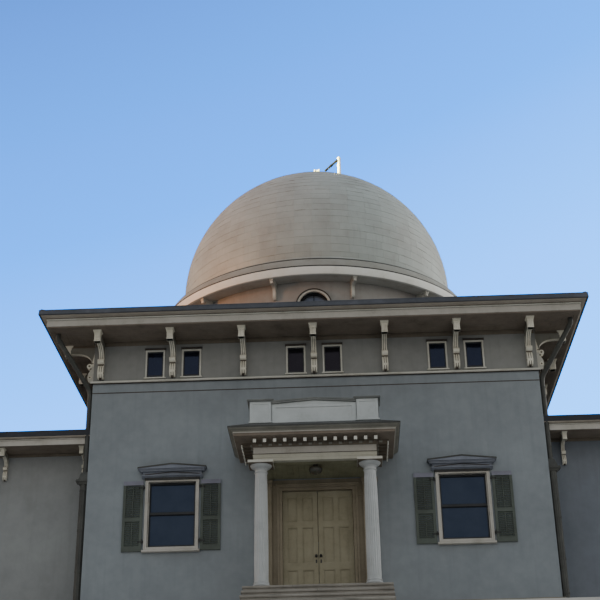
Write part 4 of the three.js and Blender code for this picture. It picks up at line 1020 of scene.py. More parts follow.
frieze = {"x": (-3.625, -2.795, -0.415, 0.415, 2.795, 3.625), "half": 0.184, "low": 5.815, "high": 6.444}
courseLine = [(gap, 5.7), (0.046, 5.7), (0.046, 5.705), (0.058, 5.711), (0.06, 5.717),
              (0.06, 5.738), (0.054, 5.746), (gap, 5.7457)]
# a dark strip under the string course is painted shade
quirk = [(gap, 5.6862), (0.044, 5.6862), (0.044, 5.7), (gap, 5.7)]
courseParts = [(sweep(courseLine, square, True), trimPaint), (sweep(quirk, square, True), flashingAndShadeBrown)]
friezePanes = []
half, low, high = frieze["half"], frieze["low"], frieze["high"]
for turn in turns.values():
    for x in frieze["x"]:
        made = [
            (holedSlab(x - 0.221, x + 0.221, low - 0.004, 6.483, -5.058, -onWall,
                       [(x - half, x + half, low, high)]),
             trimPaint),
            (holedSlab(x - 0.2095, x + 0.2095, 5.8405, 6.4795, -onWall, -4.93,
                       [(x - half, x + half, 5.86, high)]),
             trimPaint),
            (brick(x - half - 0.001, x + half + 0.001, -5.047, -onWall, low - 0.001, 5.862), sashPaint),
            (holedSlab(x - half - 0.001, x + half + 0.001, 5.8405, high + 0.001, -5.035, -5.012,
                       [(x - 0.16, x + 0.16, 5.861, high - 0.03)]), sashPaint),
            (prism([(-onWall, 6.482), (-5.085, 6.482), (-5.096, 6.49), (-5.096, 6.518), (-onWall, 6.53)], "x",
                   x - 0.237, x + 0.237), flashingAndShadeBrown),
            (prism([(-onWall, 6.5185), (-5.1, 6.512), (-5.1, 6.52), (-onWall, 6.5315)], "x",
                   x - 0.242, x + 0.242), roofSheet),
            (prism([(-onWall, low - 0.034), (-5.078, low - 0.034), (-5.082, low - 0.03),
                    (-5.082, low - 0.006), (-onWall, low)], "x", x - 0.245, x + 0.245), trimPaint)]
        courseParts += moved(made, turn)
        friezePanes.append((placed(brick(x - 0.17, x + 0.17, -5.023, -5.019, 5.85, 6.43), turn),
                            friezeGlass if abs(x) > 1 else shadedGlass))
makePiece("string_course_joinery", courseParts, "building", ("string_course",), edge=0.002)
makePiece("frieze_panes", friezePanes, "building", ("frieze_glass",))
jointRun = sweep([(gap, 5.458), (0.005, 5.458), (0.006, 5.468), (0.005, 5.478), (gap, 5.478)], square, True)
makePiece("wall_joint_strip", [(jointRun, flashingAndShadeBrown)], "building")
print("string course done")

# Ground-floor windows and shutters.

window = {"x": 3.15, "open": 0.52, "low": 1.887, "high": 3.333}


def chevron(halfWide, eave, peak, thick, y0, y1):
    line = [(-halfWide, eave), (0, peak), (halfWide, eave), (halfWide, eave + thick), (0, peak + thick),
            (-halfWide, eave + thick)]
    return prism(line, "y", y0, y1)


def gable(halfWide, low, eave, peak, y0, y1):
    line = [(-halfWide, low), (halfWide, low), (halfWide, eave), (0, peak), (-halfWide, eave)]
    return prism(line, "y", y0, y1)


def windowUnit(glazed=True):
    # drawn for a wall face at y = 0 that looks towards -Y
    o, low, high = window["open"], window["low"], window["high"]
    hole = (-o, o, low, high)
    sill = [(-gap, 1.767), (-0.07, 1.767), (-0.076, 1.774), (-0.09, 1.778), (-0.09, 1.806), (-0.083, 1.814),
            (-gap, 1.832)]
    bed = [(-gap, 3.412), (-0.05, 3.412), (-0.056, 3.42), (-0.075, 3.428), (-0.098, 3.446), (-0.11, 3.45),
           (-0.11, 3.47), (-gap, 3.47)]
    parts = [
        (holedSlab(-0.585, 0.585, low - 0.06, 3.416, -0.038, -gap, [hole]), eavePaint),
        (holedSlab(-0.555, 0.555, low - 0.035, high + 0.035, -0.02, 0.15, [hole]), eavePaint),
        (holedSlab(-0.5855, 0.5855, low - 0.06, 3.416, -0.045, -gap,
                   [(-0.563, 0.563, low - 0.06, high + 0.043)]), eavePaint),
        (prism(sill, "x", -0.62, 0.62), eavePaint),
        (prism(bed, "x", -0.667, 0.667), hoodPaint),
        (gable(0.64, 3.469, 3.548, 3.62, -0.085, -gap), hoodPaint),
        (chevron(0.6, 3.474, 3.526, 0.016, -0.094, -0.08), flashingAndShadeBrown),
        (gable(0.705, 3.54, 3.582, 3.657, -0.15, -gap), hoodPaint),
        (gable(0.722, 3.566, 3.59, 3.666, -0.166, -gap), hoodPaint),
        (gable(0.744, 3.588, 3.614, 3.692, -0.193, -gap), hoodPaint),
        (chevron(0.75, 3.597, 3.675, 0.0335, -0.2, -gap), porchLead),
        # a black strip under the hood is painted shade
        (brick(-0.6, 0.6, -0.066, -gap, 3.37, 3.4205), blackIronAndShade)]
    # upper sash outside, lower sash behind it, each with a thinner stop round its pane
    for wide, z0, z1, y0, y1, inner in (
            (0.519, 2.616, high - 0.001, 0.058, 0.082, (-0.487, 0.487, 2.664, 3.3)),
            (0.519, low + 0.001, 2.662, 0.074, 0.1, (-0.487, 0.487, 1.935, 2.616)),
            (0.4872, 2.6638, 3.3002, 0.064, 0.079, (-0.475, 0.475, 2.676, 3.288)),
            (0.4872, 1.9348, 2.6162, 0.08, 0.097, (-0.475, 0.475, 1.947, 2.604))):
        parts.append((holedSlab(-wide, wide, z0, z1, y0, y1, [inner]), sashPaint))
    for s in (-1, 1):
        parts.append((brick(*between(s, o, 0.5), 0.04, 0.058, low, high), eavePaint))
    if glazed:
        parts.append((brick(-0.478, 0.478, 0.0712, 0.0742, 2.67, 3.294), windowGlass))
        parts.append((brick(-0.478, 0.478, 0.0868, 0.0898, 1.94, 2.61), windowGlass))
    return parts


for side, hand in sides.items():
    parts = windowUnit(False)
    for s in (-1, 1):
        for z in (1.98, 3.18):
            parts.append((brick(*between(s, 0.59, 0.635), -0.062, -0.04, z, z + 0.05), blackIronAndShade))
            parts.append((tube([(s * 0.618, -0.062, z - 0.01), (s * 0.618, -0.062, z + 0.075)], 0.011, 12),
                          blackIronAndShade))
    makePiece("window_joinery_" + side, moved(parts, 0, (hand * window["x"], -main["half"], 0)), "building",
              ("front_window_" + side,), edge=0.003)

shutter = {"inner": 0.63, "outer": 1.06, "low": 1.8, "high": 3.36, "stile": 0.058, "rail": 0.095,
           "pitch": 0.042}


def shutterLeaf():
    # the outer edge is at x = 1.06; slats 6 mm thick tip forward to shed the rain
    a, b, low, high = shutter["inner"], shutter["outer"], shutter["low"], shutter["high"]
    frameTop = high - 0.09
    lights = [(low + 0.11, 2.455), (2.535, high - shutter["rail"])]
    holes = [(a + shutter["stile"], b - shutter["stile"], z0, z1) for z0, z1 in lights]
    cut = [(x0, x1, z0, min(z1, frameTop)) for x0, x1, z0, z1 in holes]
    parts = [(holedSlab(a, b, low, frameTop, -0.038, -0.004, cut), shutterPaint),
             (brick(a, b, -0.0381, -0.004, high - 0.0945, high), shutterRail)]
    for x0, x1, z0, z1 in holes:
        z = z0 + 0.004
        while z < z1 - 0.012:
            slat = [(-0.036, z), (-0.032, z - 0.003), (-0.008, z + 0.03), (-0.012, z + 0.033)]
            slat = [(y, min(h, z1 + 0.004)) for y, h in slat]
            parts.append((prism(slat, "x", x0 - 0.003, x1 + 0.003), shutterPaint))
            z += shutter["pitch"]
        rod = (x0 + x1) / 2
        parts.append((brick(rod - 0.008, rod + 0.008, -0.0465, -0.036, z0 + 0.02, z1 - 0.02), shutterPaint))
    for z in (1.99, 3.19):
        parts.append((brick(a - 0.004, a + 0.09, -0.042, -0.037, z, z + 0.034), blackIronAndShade))
    return parts


for side, hand in sides.items():
    for edge, way in sides.items():
        leaf = moved(shutterLeaf(), 0, (hand * window["x"], -main["half"], 0), way < 0)
        makePiece("louvred_%s_%s" % (side, edge), leaf, "building", ("shutter_%s_window_%s" % (side, edge),),
                  edge=0.002)
print("windows and shutters done")

# Walls that are rebuilt with their real joinery: the back of the square block, and both wings.


def holeAt(x):
    return (x - 0.555, x + 0.555, 1.852, 3.368)


friezeHoles = [(x - 0.21, x + 0.21, 5.84, 6.48) for x in frieze["x"]]
backXs = (-window["x"], 0, window["x"])
backSlab = holedSlab(-main["half"], main["half"], 0.6003, 6.7147, -main["half"], -4.63,
                     [holeAt(x) for x in backXs] + friezeHoles)
makePiece("back_wall_stucco", [(placed(backSlab, 180), stucco)], "building", ("back_wall",))
backUnits = [part for x in backXs for part in moved(moved(windowUnit(), 0, (x, -main["half"], 0)), 180)]
makePiece("back_window_joinery", backUnits, "building", ("back_glass",), edge=0.003)

wing = {"front": -4.28, "back": 4.56, "end": 10.83, "thick": 0.35, "foot": 0.6003, "top": 4.3297,
        "soffit": 4.33, "eaveTop": 4.495, "gutter": 4.625, "overhang": 0.725, "bracketFoot": 3.68,
        "endPitch": 2.115, "left": (5.26, 7.05, 8.845, 10.64), "right": (5.5, 7.21, 8.925, 10.64)}
middleY = (wing["front"] + wing["back"]) / 2
halfSpan = (wing["back"] - wing["front"]) / 2 + wing["overhang"]
roofEnd = wing["end"] + wing["overhang"]


def wingRoofHeight(inward):
    # the foot of a seam, this far in from the eave
    return wing["gutter"] + inward * pitchUp - 0.006


for side, hand in sides.items():
    wx = (wing[side][1] + wing[side][2]) / 2
    endYs = [middleY - wing["endPitch"] / 2, middleY + wing["endPitch"] / 2]
    spots = [(0, (wx, wing["front"], 0)), (180, (wx, wing["back"], 0))]
    spots += [(90, (wing["end"], y, 0)) for y in endYs]
    rise, thick = (wing["foot"], wing["top"]), wing["thick"]
    walls = [holedSlab(onWall, wing["end"], *rise, wing["front"], wing["front"] + thick, [holeAt(wx)]),
             placed(holedSlab(-wing["end"], -onWall, *rise, -wing["back"], thick - wing["back"],
                              [holeAt(-wx)]), 180),
             placed(holedSlab(wing["front"] + thick, wing["back"] - thick, *rise, -wing["end"],
                              thick - wing["end"], [holeAt(y) for y in endYs]), 90)]
    units = [part for turn, at in spots for part in moved(windowUnit(), turn, at)]
    corners = [(onWall, wing["front"]), (wing["end"], wing["front"]), (wing["end"], wing["back"]),
               (onWall, wing["back"])]
    eave = eaveRun(0.64, wing["soffit"], 0.63, wing["eaveTop"], corners, False, 0.03)
    # the bed mould at the wall is painted dark brown for shade
    bed = [(gap, 4.262), (0.01, 4.262), (0.02, 4.28), (0.024, 4.3), (0.024, 4.3295), (gap, 4.3295)]
    eave.append((sweep(bed, corners), shadeBrownPaint))
    at = [(0, (x, wing["front"], wing["bracketFoot"])) for x in wing[side]]
    at += [(180, (x, wing["back"], wing["bracketFoot"])) for x in wing[side]]
    at += [(90, (wing["end"], middleY + i * wing["endPitch"], wing["bracketFoot"]))
           for i in (-2, -1, 0, 1, 2)]
    carried = [part for turn, shift in at for part in moved(bracket(0.095, 0.667, 0.672), turn, shift)]
    seams = []
    for k in range(1, 14):
        x = main["half"] + 0.5 * k - 0.2
        climb = min(halfSpan, roofEnd - x)
        for way in (-1, 1):
            if climb > 0.3:
                seams.append(bar((x, middleY + way * (halfSpan - 0.17), wingRoofHeight(0.17)),
                                 (x, middleY + way * (halfSpan - climb + 0.02), wingRoofHeight(climb - 0.02)),
                                 0.02, 0.032))
    for k in range(-9, 10):
        y = middleY + 0.5 * k
        climb = halfSpan - abs(0.5 * k)
        if climb > 0.15:
            seams.append(bar((roofEnd - 0.02, y, wing["gutter"] - 0.002),
                             (roofEnd - climb + 0.02, y, wingRoofHeight(climb - 0.02)), 0.02, 0.032))
    peak = (roofEnd - halfSpan, middleY, wing["gutter"] + halfSpan * pitchUp - 0.012)
    seams.append(bar((onWall, middleY, peak[2]), peak, 0.07, 0.03))
    for way in (-1, 1):
        seams.append(bar((roofEnd - 0.03, middleY + way * (halfSpan - 0.03), wing["gutter"] - 0.01), peak,
                         0.06, 0.035))
    low = wing["eaveTop"] + gap
    drip = [(0.6, low), (0.722, low), (0.7245, 4.498), (0.7245, 4.537), (0.6, 4.54)]
    seams += [sweep(line, corners) for line in (arc((0.715, 4.622), 0.01, 0, 324, 9), drip)]
    # the right wing's stucco is painted darker for the shade it stands in
    wallFinish = stuccoShadedWing if hand > 0 else stuccoLeftWing
    for name, parts, replaced, slot, edge, sharp in (
            ("stucco", [(s, wallFinish) for s in walls], "walls", "stucco", 0, 32),
            ("windows", units, "glass", "trim_paint", 0.003, 32),
            ("eave_joinery", eave, "eave", "trim_paint", 0.002, 25),
            ("brackets", carried, None, "trim_paint", 0, 32),
            ("seams", [(s, wingSheet) for s in seams], None, "roof_metal", 0.002, 32)):
        makePiece("%s_wing_%s" % (side, name), moved(parts, flip=hand < 0), "building",
                  ("%s_wing_%s" % (side, replaced),) if replaced else (), edge, sharp)
print("wings done")

# Entrance: the door case and its two panelled leaves.

door = {"half": 0.76, "top": 3.05, "foot": 0.6503, "head": 3.2897, "low": 0.655, "high": 3.045,
        "hinges": (0.85, 1.8, 2.75), "rows": ((0.80, 1.33), (1.47, 2.25), (2.37, 2.92)),
        "columns": ((0.095, 0.345), (0.435, 0.665))}
foot, head = door["foot"], door["head"]
opening = (-door["half"], door["half"], foot, door["top"])
capMould = [(-onWall, 3.158), (-5.075, 3.158), (-5.085, 3.17), (-5.1, 3.178), (-5.1, 3.196), (-onWall, 3.2)]
entry = [(holedSlab(-wide, wide, low, high, y0, y1, [hole]), casePaint) for wide, low, high, y0, y1, hole in (
    (0.8197, foot, 3.1097, -5.0297, -4.935, opening),
    (1.275, foot, head, -5.04, -onWall, (-0.8, 0.8, foot, 3.08)),
    (1.275, 2.9, head, -5.052, -5.04, (-door["half"], door["half"], 2.9, door["top"])),
    (0.825, foot, 3.112, -5.072, -onWall, opening),
    (0.87, foot, 3.16, -5.085, -onWall, (-0.828, 0.828, foot, 3.115)))]
entry.append((prism(capMould, "x", -0.9, 0.9), casePaint))
for s in (-1, 1):
    # a pilaster with base and cap blocks and a sunk face
    for x0, x1, front, z0, z1 in ((0.99, 1.28, -5.104, foot, head), (0.962, 1.308, -5.128, foot, 0.79),
                                  (0.972, 1.298, -5.118, 0.79, 0.82), (0.975, 1.295, -5.117, 3.05, 3.075),
                                  (0.972, 1.298, -5.12, 3.15, 3.19), (0.96, 1.31, -5.13, 3.2, head)):
        entry.append((brick(*between(s, x0, x1), front, -onWall, z0, z1), casePaint))
    entry.append((holedSlab(*between(s, 0.985, 1.285), 0.82, 3.12, -5.11, -5.09,
                            [(*between(s, 1.03, 1.24), 0.9, 3.02)]), casePaint))
    for z in door["hinges"]:
        entry.append((tube([(s * 0.7575, -4.926, z), (s * 0.7575, -4.926, z + 0.0597)], 0.008, 16),
                      blackIronAndShade))
        entry.append((brick(*between(s, 0.7575, 0.79), -4.934, -4.926, z, z + 0.0597), blackIronAndShade))
makePiece("door_case", entry, "building", ("door_frame",), edge=0.003)

knob = [(0, 0), (0.03, 0), (0.03, 0.004), (0.026, 0.007), (0.012, 0.009), (0.011, 0.024), (0.02, 0.032),
        (0.027, 0.046), (0.027, 0.06), (0.02, 0.074), (0.008, 0.0815), (0, 0.082)]
for side, hand in sides.items():
    panels = [(a, b, z0, z1) for a, b in door["columns"] for z0, z1 in door["rows"]]
    parts = [(holedSlab(0.0045, 0.755, door["low"], door["high"], -4.98, -4.935, panels), doorPaint)]
    for a, b, z0, z1 in panels:
        for grow, cut, y0, y1 in ((0.002, 0.012, -4.975, -4.94), (-0.01, 0.02, -4.971, -4.944)):
            parts.append((holedSlab(a - grow, b + grow, z0 - grow, z1 + grow, y0, y1,
                                    [(a + cut, b - cut, z0 + cut, z1 - cut)]), doorPaint))
        for back, front in ((-4.957, -4.97), (-4.958, -4.945)):
            parts.append((raisedField(a + 0.018, b - 0.018, z0 + 0.018, z1 - 0.018, back, front, 0.038),
                          doorPaint))
    if hand > 0:
        # the meeting bead, on the right leaf only
        bead = [(0.0045, -4.9799), (0.012, -4.9799), (0.012, -4.984), (0.0045, -4.986)]
        parts.append((prism(bead, "z", door["low"], door["high"]), doorPaint))
    for z in door["hinges"]:
        parts.append((tube([(0.7575, -4.926, z + 0.0603), (0.7575, -4.926, z + 0.12)], 0.008, 16), blackIronAndShade))
        parts.append((brick(0.7125, 0.7575, -4.9352, -4.926, z + 0.0603, z + 0.12), blackIronAndShade))
    for way, y in ((1, -4.935), (-1, -4.98)):
        verts, faces = lathe(knob, 28)
        parts.append((([(0.05 + u, y + way * w, 1.62 + v) for u, v, w in verts], faces), blackIronAndShade))
    parts.append((brick(0.035, 0.065, -4.9825, -4.9799, 1.47, 1.545), blackIronAndShade))
    makePiece("panelled_leaf_" + side, moved(parts, flip=hand < 0), "leaf_" + side, ("door_" + side,),
              edge=0.002)
print("entrance done")

# Plinth, porch and rainwater pipes.

plinth = {"top": 0.6, "joint": 0.007, "block": 0.92, "deep": 0.16}
plan = [(-5.09, -5.09), (5.09, -5.09), (5.09, -4.34), (10.89, -4.34), (10.89, 4.62), (5.09, 4.62),
        (5.09, 5.09), (-5.09, 5.09), (-5.09, 4.62), (-10.89, 4.62), (-10.89, -4.34), (-5.09, -4.34)]


def insetPlan(by):
    line = []
    for i, spot in enumerate(plan):
        before, after = Vector(spot) - Vector(plan[i - 1]), Vector(plan[(i + 1) % len(plan)]) - Vector(spot)
        before.normalize()
        after.normalize()
        line.append((spot[0] - by * (before.y + after.y), spot[1] + by * (before.x + after.x)))
    return line


stones = [(prism(insetPlan(0.01), "z", 0.0, 0.5985), plinthMortar)]
for i, start in enumerate(plan):
    end = plan[(i + 1) % len(plan)]
    a, b = Vector(start), Vector(end)
    way = (b - a).normalized()
    out = Vector((way.y, -way.x))
    last, following = Vector(plan[i - 1]), Vector(plan[(i + 2) % len(plan)])
    outerStart = (a - last).normalized().cross(way) > 0
    outerEnd = way.cross((following - b).normalized()) > 0
    length = (b - a).length
    g = plinth["joint"] / 2
    for row, (z0, z1) in enumerate(((0.0, plinth["top"] / 2 - g), (plinth["top"] / 2 + g, plinth["top"]))):
        # the courses bond round each outer corner: one runs through to it and the other stops short
        cutStart = (plinth["deep"] if row == 0 else 0) if outerStart else 0.001
        cutEnd = plinth["deep"] if outerEnd and row == 1 else 0
        run = length - cutStart - cutEnd
        count = max(1, round(run / plinth["block"]))
        offset = 0.25 if row and count > 1 else 0
        edges = [0] + [(k + offset) * run / count for k in range(1, count)] + [run]
        for p, q in zip(edges, edges[1:]):
            near = a + way * (cutStart + p + (g if p else 0))
            far = a + way * (cutStart + q - (g if q < run else 0))
            corners = [near, far, far - out * plinth["deep"], near - out * plinth["deep"]]
            stones.append((prism([tuple(c) for c in corners], "z", z0, z1), plinthStone))
makePiece("plinth_blocks", stones, "building", ("foundation",), edge=0.008)

steps = {"landing": -6.52, "top": 0.65, "tread": 0.3, "rise": 0.1625, "half": 1.5, "joint": 0.002}
stepParts = []
for k in range(4):
    top = steps["top"] - steps["rise"] * k
    front = steps["landing"] - steps["tread"] * k
    back = -5.0903 if k == 0 else front + steps["tread"] + 0.02
    joints = [-1.5, -0.5, 0.5, 1.5] if k % 2 == 0 else [-1.5, 0.0, 1.5]
    nosing = [(back, top - 0.055), (front + 0.012, top - 0.055), (front + 0.003, top - 0.048),
              (front, top - 0.035), (front, top - 0.018), (front + 0.005, top - 0.006), (front + 0.016, top),
              (back, top)]
    for p, q in zip(joints, joints[1:]):
        x0 = p + (steps["joint"] if p > -steps["half"] else 0)
        x1 = q - (steps["joint"] if q < steps["half"] else 0)
        stepParts.append((prism(nosing, "x", x0, x1), stepStone))
    foot = top - steps["rise"] + (0 if k == 3 else -0.01)
    stepParts.append((brick(-1.485, 1.485, front + 0.02, back, foot, top - 0.054), stepStone))
stepParts.append((brick(-1.48, 1.48, -6.5, -5.0903, 0.0, 0.5), stepStone))
makePiece("porch_step_stones", stepParts, "building", ("porch_steps",), edge=0.006)

column = {"x": 1.135, "y": -6.21, "flutes": 20, "from": 0.86, "to": 2.98}
shaft = [(0, 0.6503), (0.165, 0.6503), (0.165, 0.672)] + arc((0.16, 0.708), 0.018, -80, 90, 10, 0.02)
shaft += curve([(0.163, 0.735), (0.158, 0.745), (0.155, 0.757)], 3)
shaft += [(0.163, 0.76), (0.163, 0.772), (0.15, 0.778)]
shaft += curve([(0.147, 0.79), (0.145, 0.83), (0.145, 0.87), (0.145, 0.91), (0.1455, 1.4), (0.141, 2.0),
                (0.1335, 2.6), (0.1265, 2.93), (0.1255, 2.98), (0.125, 3.03), (0.126, 3.05)], 5)
shaft += [(0.132, 3.056)] + arc((0.13, 3.072), 0.012, -80, 80, 8, 0.013) + [(0.126, 3.088)]
shaft += [(0.125, 3.1), (0.125, 3.13), (0.14, 3.134), (0.14, 3.148), (0.149, 3.15)]
shaft += curve([(0.152, 3.155), (0.175, 3.166), (0.205, 3.19), (0.225, 3.218), (0.2275, 3.2285)], 4)
shaft += [(0, 3.2285)]


def fluted(solid, x):
    # twenty shallow flutes, 9 mm deep, that run out above the base and below the necking
    verts = []
    for vx, vy, vz in solid[0]:
        fade = max(0, min(1, (vz - column["from"]) / 0.05, (column["to"] - vz) / 0.05))
        turn = math.atan2(vy - column["y"], vx - x)
        k = 1 - fade * 0.066 * (0.5 - 0.5 * math.cos(column["flutes"] * turn)) ** 0.6
        verts.append((x + (vx - x) * k, column["y"] + (vy - column["y"]) * k, vz))
    return verts, solid[1]


for side, hand in sides.items():
    x, y = hand * column["x"], column["y"]
    # a dark band under the abacus is painted shade
    parts = [(fluted(lathe(shaft, 200, (x, y)), x), columnPaint),
             (brick(x - 0.262, x + 0.262, y - 0.262, y + 0.262, 3.236, 3.2897), trimPaint),
             (brick(x - 0.256, x + 0.256, y - 0.256, y + 0.256, 3.227, 3.2365), shadeBrownPaint)]
    makePiece("column_" + side, parts, "building", ("porch_column_" + side,), edge=0.004)

porch = {"half": 1.285, "front": -6.36, "boards": 20, "boardHalf": 1.235}
around = [(-porch["half"], -onWall), (-porch["half"], porch["front"]), (porch["half"], porch["front"]),
          (porch["half"], -onWall)]
beam = [(-0.13, 3.29), (-0.044, 3.296), (-0.038, 3.29), (0, 3.29), (0, 3.354), (0.006, 3.356), (0.006, 3.428),
        (0.014, 3.431), (0.014, 3.447), (-0.13, 3.447)]
inner = [(-0.3, 3.29), (-0.262, 3.29), (-0.256, 3.296), (-0.044, 3.296), (-0.044, 3.31), (-0.13, 3.31),
         (-0.13, 3.7197), (-0.3, 3.7197)]
friezeBand = [(-0.13, 3.447), (0.0, 3.447), (0.0, 3.59), (0.01, 3.6), (0.01, 3.7197), (-0.13, 3.7197)]
# the bed mould is painted dark brown for shade
bedMould = [(0.01, 3.585)] + curve([(0.014, 3.587), (0.02, 3.6), (0.034, 3.635), (0.041, 3.67)], 4)
bedMould += [(0.042, 3.7197), (0.01, 3.7197)]
taeniaShade = [(0.004, 3.433), (0.0155, 3.433), (0.0155, 3.448), (gap, 3.4495)]
ceilingEdge = [(-0.34, 3.3), (-0.3, 3.3), (-0.3, 3.318), (-0.318, 3.3185), (-0.34, 3.3185)]
entablature = [(sweep(line, around), paint) for line, paint in
               ((beam, porchPaint), (inner, porchCeiling), (friezeBand, eavePaint), (bedMould, shadeBrownPaint),
                (taeniaShade, flashingAndShadeBrown), (ceilingEdge, porchCeiling))]
boardWide = 2 * porch["boardHalf"] / porch["boards"]
for k in range(porch["boards"]):
    x0 = -porch["boardHalf"] + boardWide * k
    x1 = x0 + boardWide
    line = [(x0 + 0.0005, 3.345), (x0 + 0.0005, 3.323), (x0 + 0.005, 3.318), (x1 - 0.005, 3.318),
            (x1 - 0.0005, 3.323), (x1 - 0.0005, 3.345)]
    entablature.append((prism(line, "y", -6.31, -onWall), porchCeiling))
makePiece("porch_beams", entablature, "building", ("porch_entablature",), edge=0.003)

cyma = [(-0.4, 3.7982), (0.4, 3.7982)]
cyma += curve([(0.402, 3.8), (0.408, 3.815), (0.43, 3.832), (0.465, 3.845), (0.488, 3.862),
               (0.496, 3.882)], 4)
cyma += [(0.4985, 3.8825), (0.4985, 3.896), (-0.4, 3.896)]
metal = [(-0.4, 3.8963), (0.499, 3.8963), (0.499, 3.868), (0.505, 3.868), (0.505, 3.9), (0.498, 3.904),
         (0.08, 4.0995), (-0.4, 4.0995)]
# the soffit's front under the corona is painted dark for shade
under = [(-0.4, 3.7203), (0.382, 3.7203), (0.385, 3.724), (0.385, 3.776), (-0.4, 3.776)]
corona = [(0.3, 3.7762), (0.402, 3.7762), (0.404, 3.779), (0.404, 3.798), (0.3, 3.798)]
bead = [(0.0425, 3.7203), (0.0425, 3.684), (0.056, 3.684), (0.064, 3.7), (0.066, 3.7203)]
# the cyma is painted drab and the bead under the soffit dark brown, both for shade
cornice = [(sweep(line, around), paint) for line, paint in
           ((under, soffitShadePaint), (corona, eavePaint), (cyma, drabShadePaint), (metal, porchLead),
            (bead, shadeBrownPaint))]
cornice.append((brick(-1.185, 1.185, -6.26, -onWall, 3.7203, 4.0995), porchLead))
# modillions: a scrolled body and cap painted dark for shade, a face in fresh white made brighter as a painted
# highlight, and a small bead, painted drab for shade, on the bed mould between each pair
modillion = [(gap, 3.646), (0.02, 3.642), (0.17, 3.642), (0.19, 3.648), (0.204, 3.656), (0.204, 3.69),
             (0.19, 3.692), (gap, 3.694)]
for turn, depth, count, first in ((0, 6.402, 13, -1.245), (90, 1.327, 6, -6.23), (-90, 1.327, 6, 5.18)):
    for k in range(count):
        x = first + 0.21 * k
        made = [(prism([(-depth - o, z) for o, z in modillion], "x", x - 0.026, x + 0.026), shadeBrownPaint),
                (brick(x - 0.034, x + 0.034, -depth - 0.222, -depth - 0.2, 3.616, 3.689), ringWhite),
                (brick(x - 0.038, x + 0.038, -depth - 0.226, -depth - gap, 3.689, 3.7207), shadeBrownPaint),
                (tube([(x + 0.07, -depth + 0.002, 3.632), (x + 0.14, -depth + 0.002, 3.632)], 0.026, 14),
                 drabShadePaint)]
        cornice += moved(made, turn)
makePiece("porch_cornice_work", cornice, "building", ("porch_cornice",), edge=0.003, sharp=28)

pier = {"x": 1.129, "y": -6.214, "half": 0.236, "foot": 4.1003, "top": 4.585,
        "sunk": (-0.174, 0.174, 4.21, 4.52)}
foot, top = pier["foot"], pier["top"]
parapet = []
for s in (-1, 1):
    # each pier is a core with a framed panel on its four faces, and a low wall runs back from it
    core = [brick(-0.226, 0.226, -0.226, 0.226, foot, top), brick(-0.249, 0.249, -0.249, 0.249, foot, 4.135)]
    panel = holedSlab(-pier["half"], pier["half"], foot, top, -pier["half"], -0.222, [pier["sunk"]])
    core += [placed(panel, turn) for turn in turns.values()]
    parapet += moved([(solid, whitePaint) for solid in core], 0, (s * pier["x"], pier["y"], 0))
    parapet.append((brick(*between(s, 1.19, 1.34), -6.05, -onWall, foot, 4.525), whitePaint))
middle = {"half": 0.893, "front": -6.425, "back": -6.275, "eave": 4.523, "peak": 4.588}
half, eave = middle["half"], middle["eave"]
parapet += [(gable(0.9, foot, 4.5225, 4.5875, -6.413, -6.287), whitePaint),
            (gable(half, 4.509, eave, middle["peak"], middle["front"], middle["back"]), whitePaint),
            (brick(-half, half, -6.437, -6.263, foot, 4.135), whitePaint)]
for y0, y1 in ((middle["front"], -6.41), (-6.29, middle["back"])):
    parapet.append((holedSlab(-half, half, foot, 4.51, y0, y1, [(-0.8, 0.8, 4.21, 4.44)]), whitePaint))
makePiece("parapet_panels", parapet, "building", ("porch_parapet",), edge=0.004)

coping = []
for low, high, y0, y1 in (((4.5253, 4.5903), (4.56, 4.628), -6.462, -6.238),
                          ((4.558, 4.626), (4.597, 4.648), -6.473, -6.227)):
    line = [(-0.8927, low[0]), (0, low[1]), (0.8927, low[0]), (0.8927, high[0]), (0, high[1]),
            (-0.8927, high[0])]
    coping.append((prism(line, "y", y0, y1), copingLead))
for s in (-1, 1):
    x, y = s * pier["x"], pier["y"]
    coping.append((brick(x - 0.272, x + 0.272, y - 0.272, y + 0.272, 4.5853, 4.605), copingLead))
    cap = [(x + u * r, y + v * r, z) for r, z in ((0.284, 4.604), (0.284, 4.628), (0.1562, 4.65))
           for u, v in ((-1, -1), (1, -1), (1, 1), (-1, 1))]
    coping.append((loft(cap, 3), copingLead))
    x0, x1 = between(s, 1.142, 1.388)
    saddle = [(x0, 4.5253), (x1, 4.5253), (x1, 4.575), ((x0 + x1) / 2, 4.597), (x0, 4.575)]
    coping.append((prism(saddle, "y", -5.9297, -onWall), copingLead))
makePiece("parapet_coping", coping, "building", ("porch_coping",), edge=0.004)

lamp = (0, -5.93)
bowl = [(0, 3.118)]
bowl += curve([(0.03, 3.1195), (0.07, 3.127), (0.11, 3.148), (0.135, 3.178), (0.144, 3.21), (0.14, 3.236)], 5)
bowl += [(0.132, 3.25), (0.128, 3.256), (0, 3.256)]
canopy = [(0, 3.252), (0.075, 3.252), (0.08, 3.26), (0.076, 3.272), (0.05, 3.28), (0.05, 3.3177), (0, 3.3177)]
finial = [(0, 3.104), (0.01, 3.105), (0.014, 3.112), (0.012, 3.125), (0, 3.126)]
lampParts = [(lathe(bowl, 56, lamp), opalGlass), (lathe(canopy, 56, lamp), flashingAndShadeBrown),
             (lathe(finial, 20, lamp), flashingAndShadeBrown)]
makePiece("lamp_bowl", lampParts, "building", ("porch_lamp",))
print("porch done")

pipe = {"x": 5.096, "y": -4.945, "radius": 0.056, "high": 3.45, "elbow": 5.56, "outlet": (5.77, -5.58, 6.6),
        "collars": (0.06, 0.42, 0.8), "brackets": (5.3, 4.62, 3.9), "lowerCollars": (3.2, 2.3, 1.4, 0.68)}


def pipeRing(hand, reach, deep, z):
    # four corners of a box against the wall, reaching this far from the middle of the building
    x0, x1 = between(hand, onWall, reach)
    y0, y1 = pipe["y"] - deep, pipe["y"] + deep
    return [(x0, y0, z), (x1, y0, z), (x1, y1, z), (x0, y1, z)]


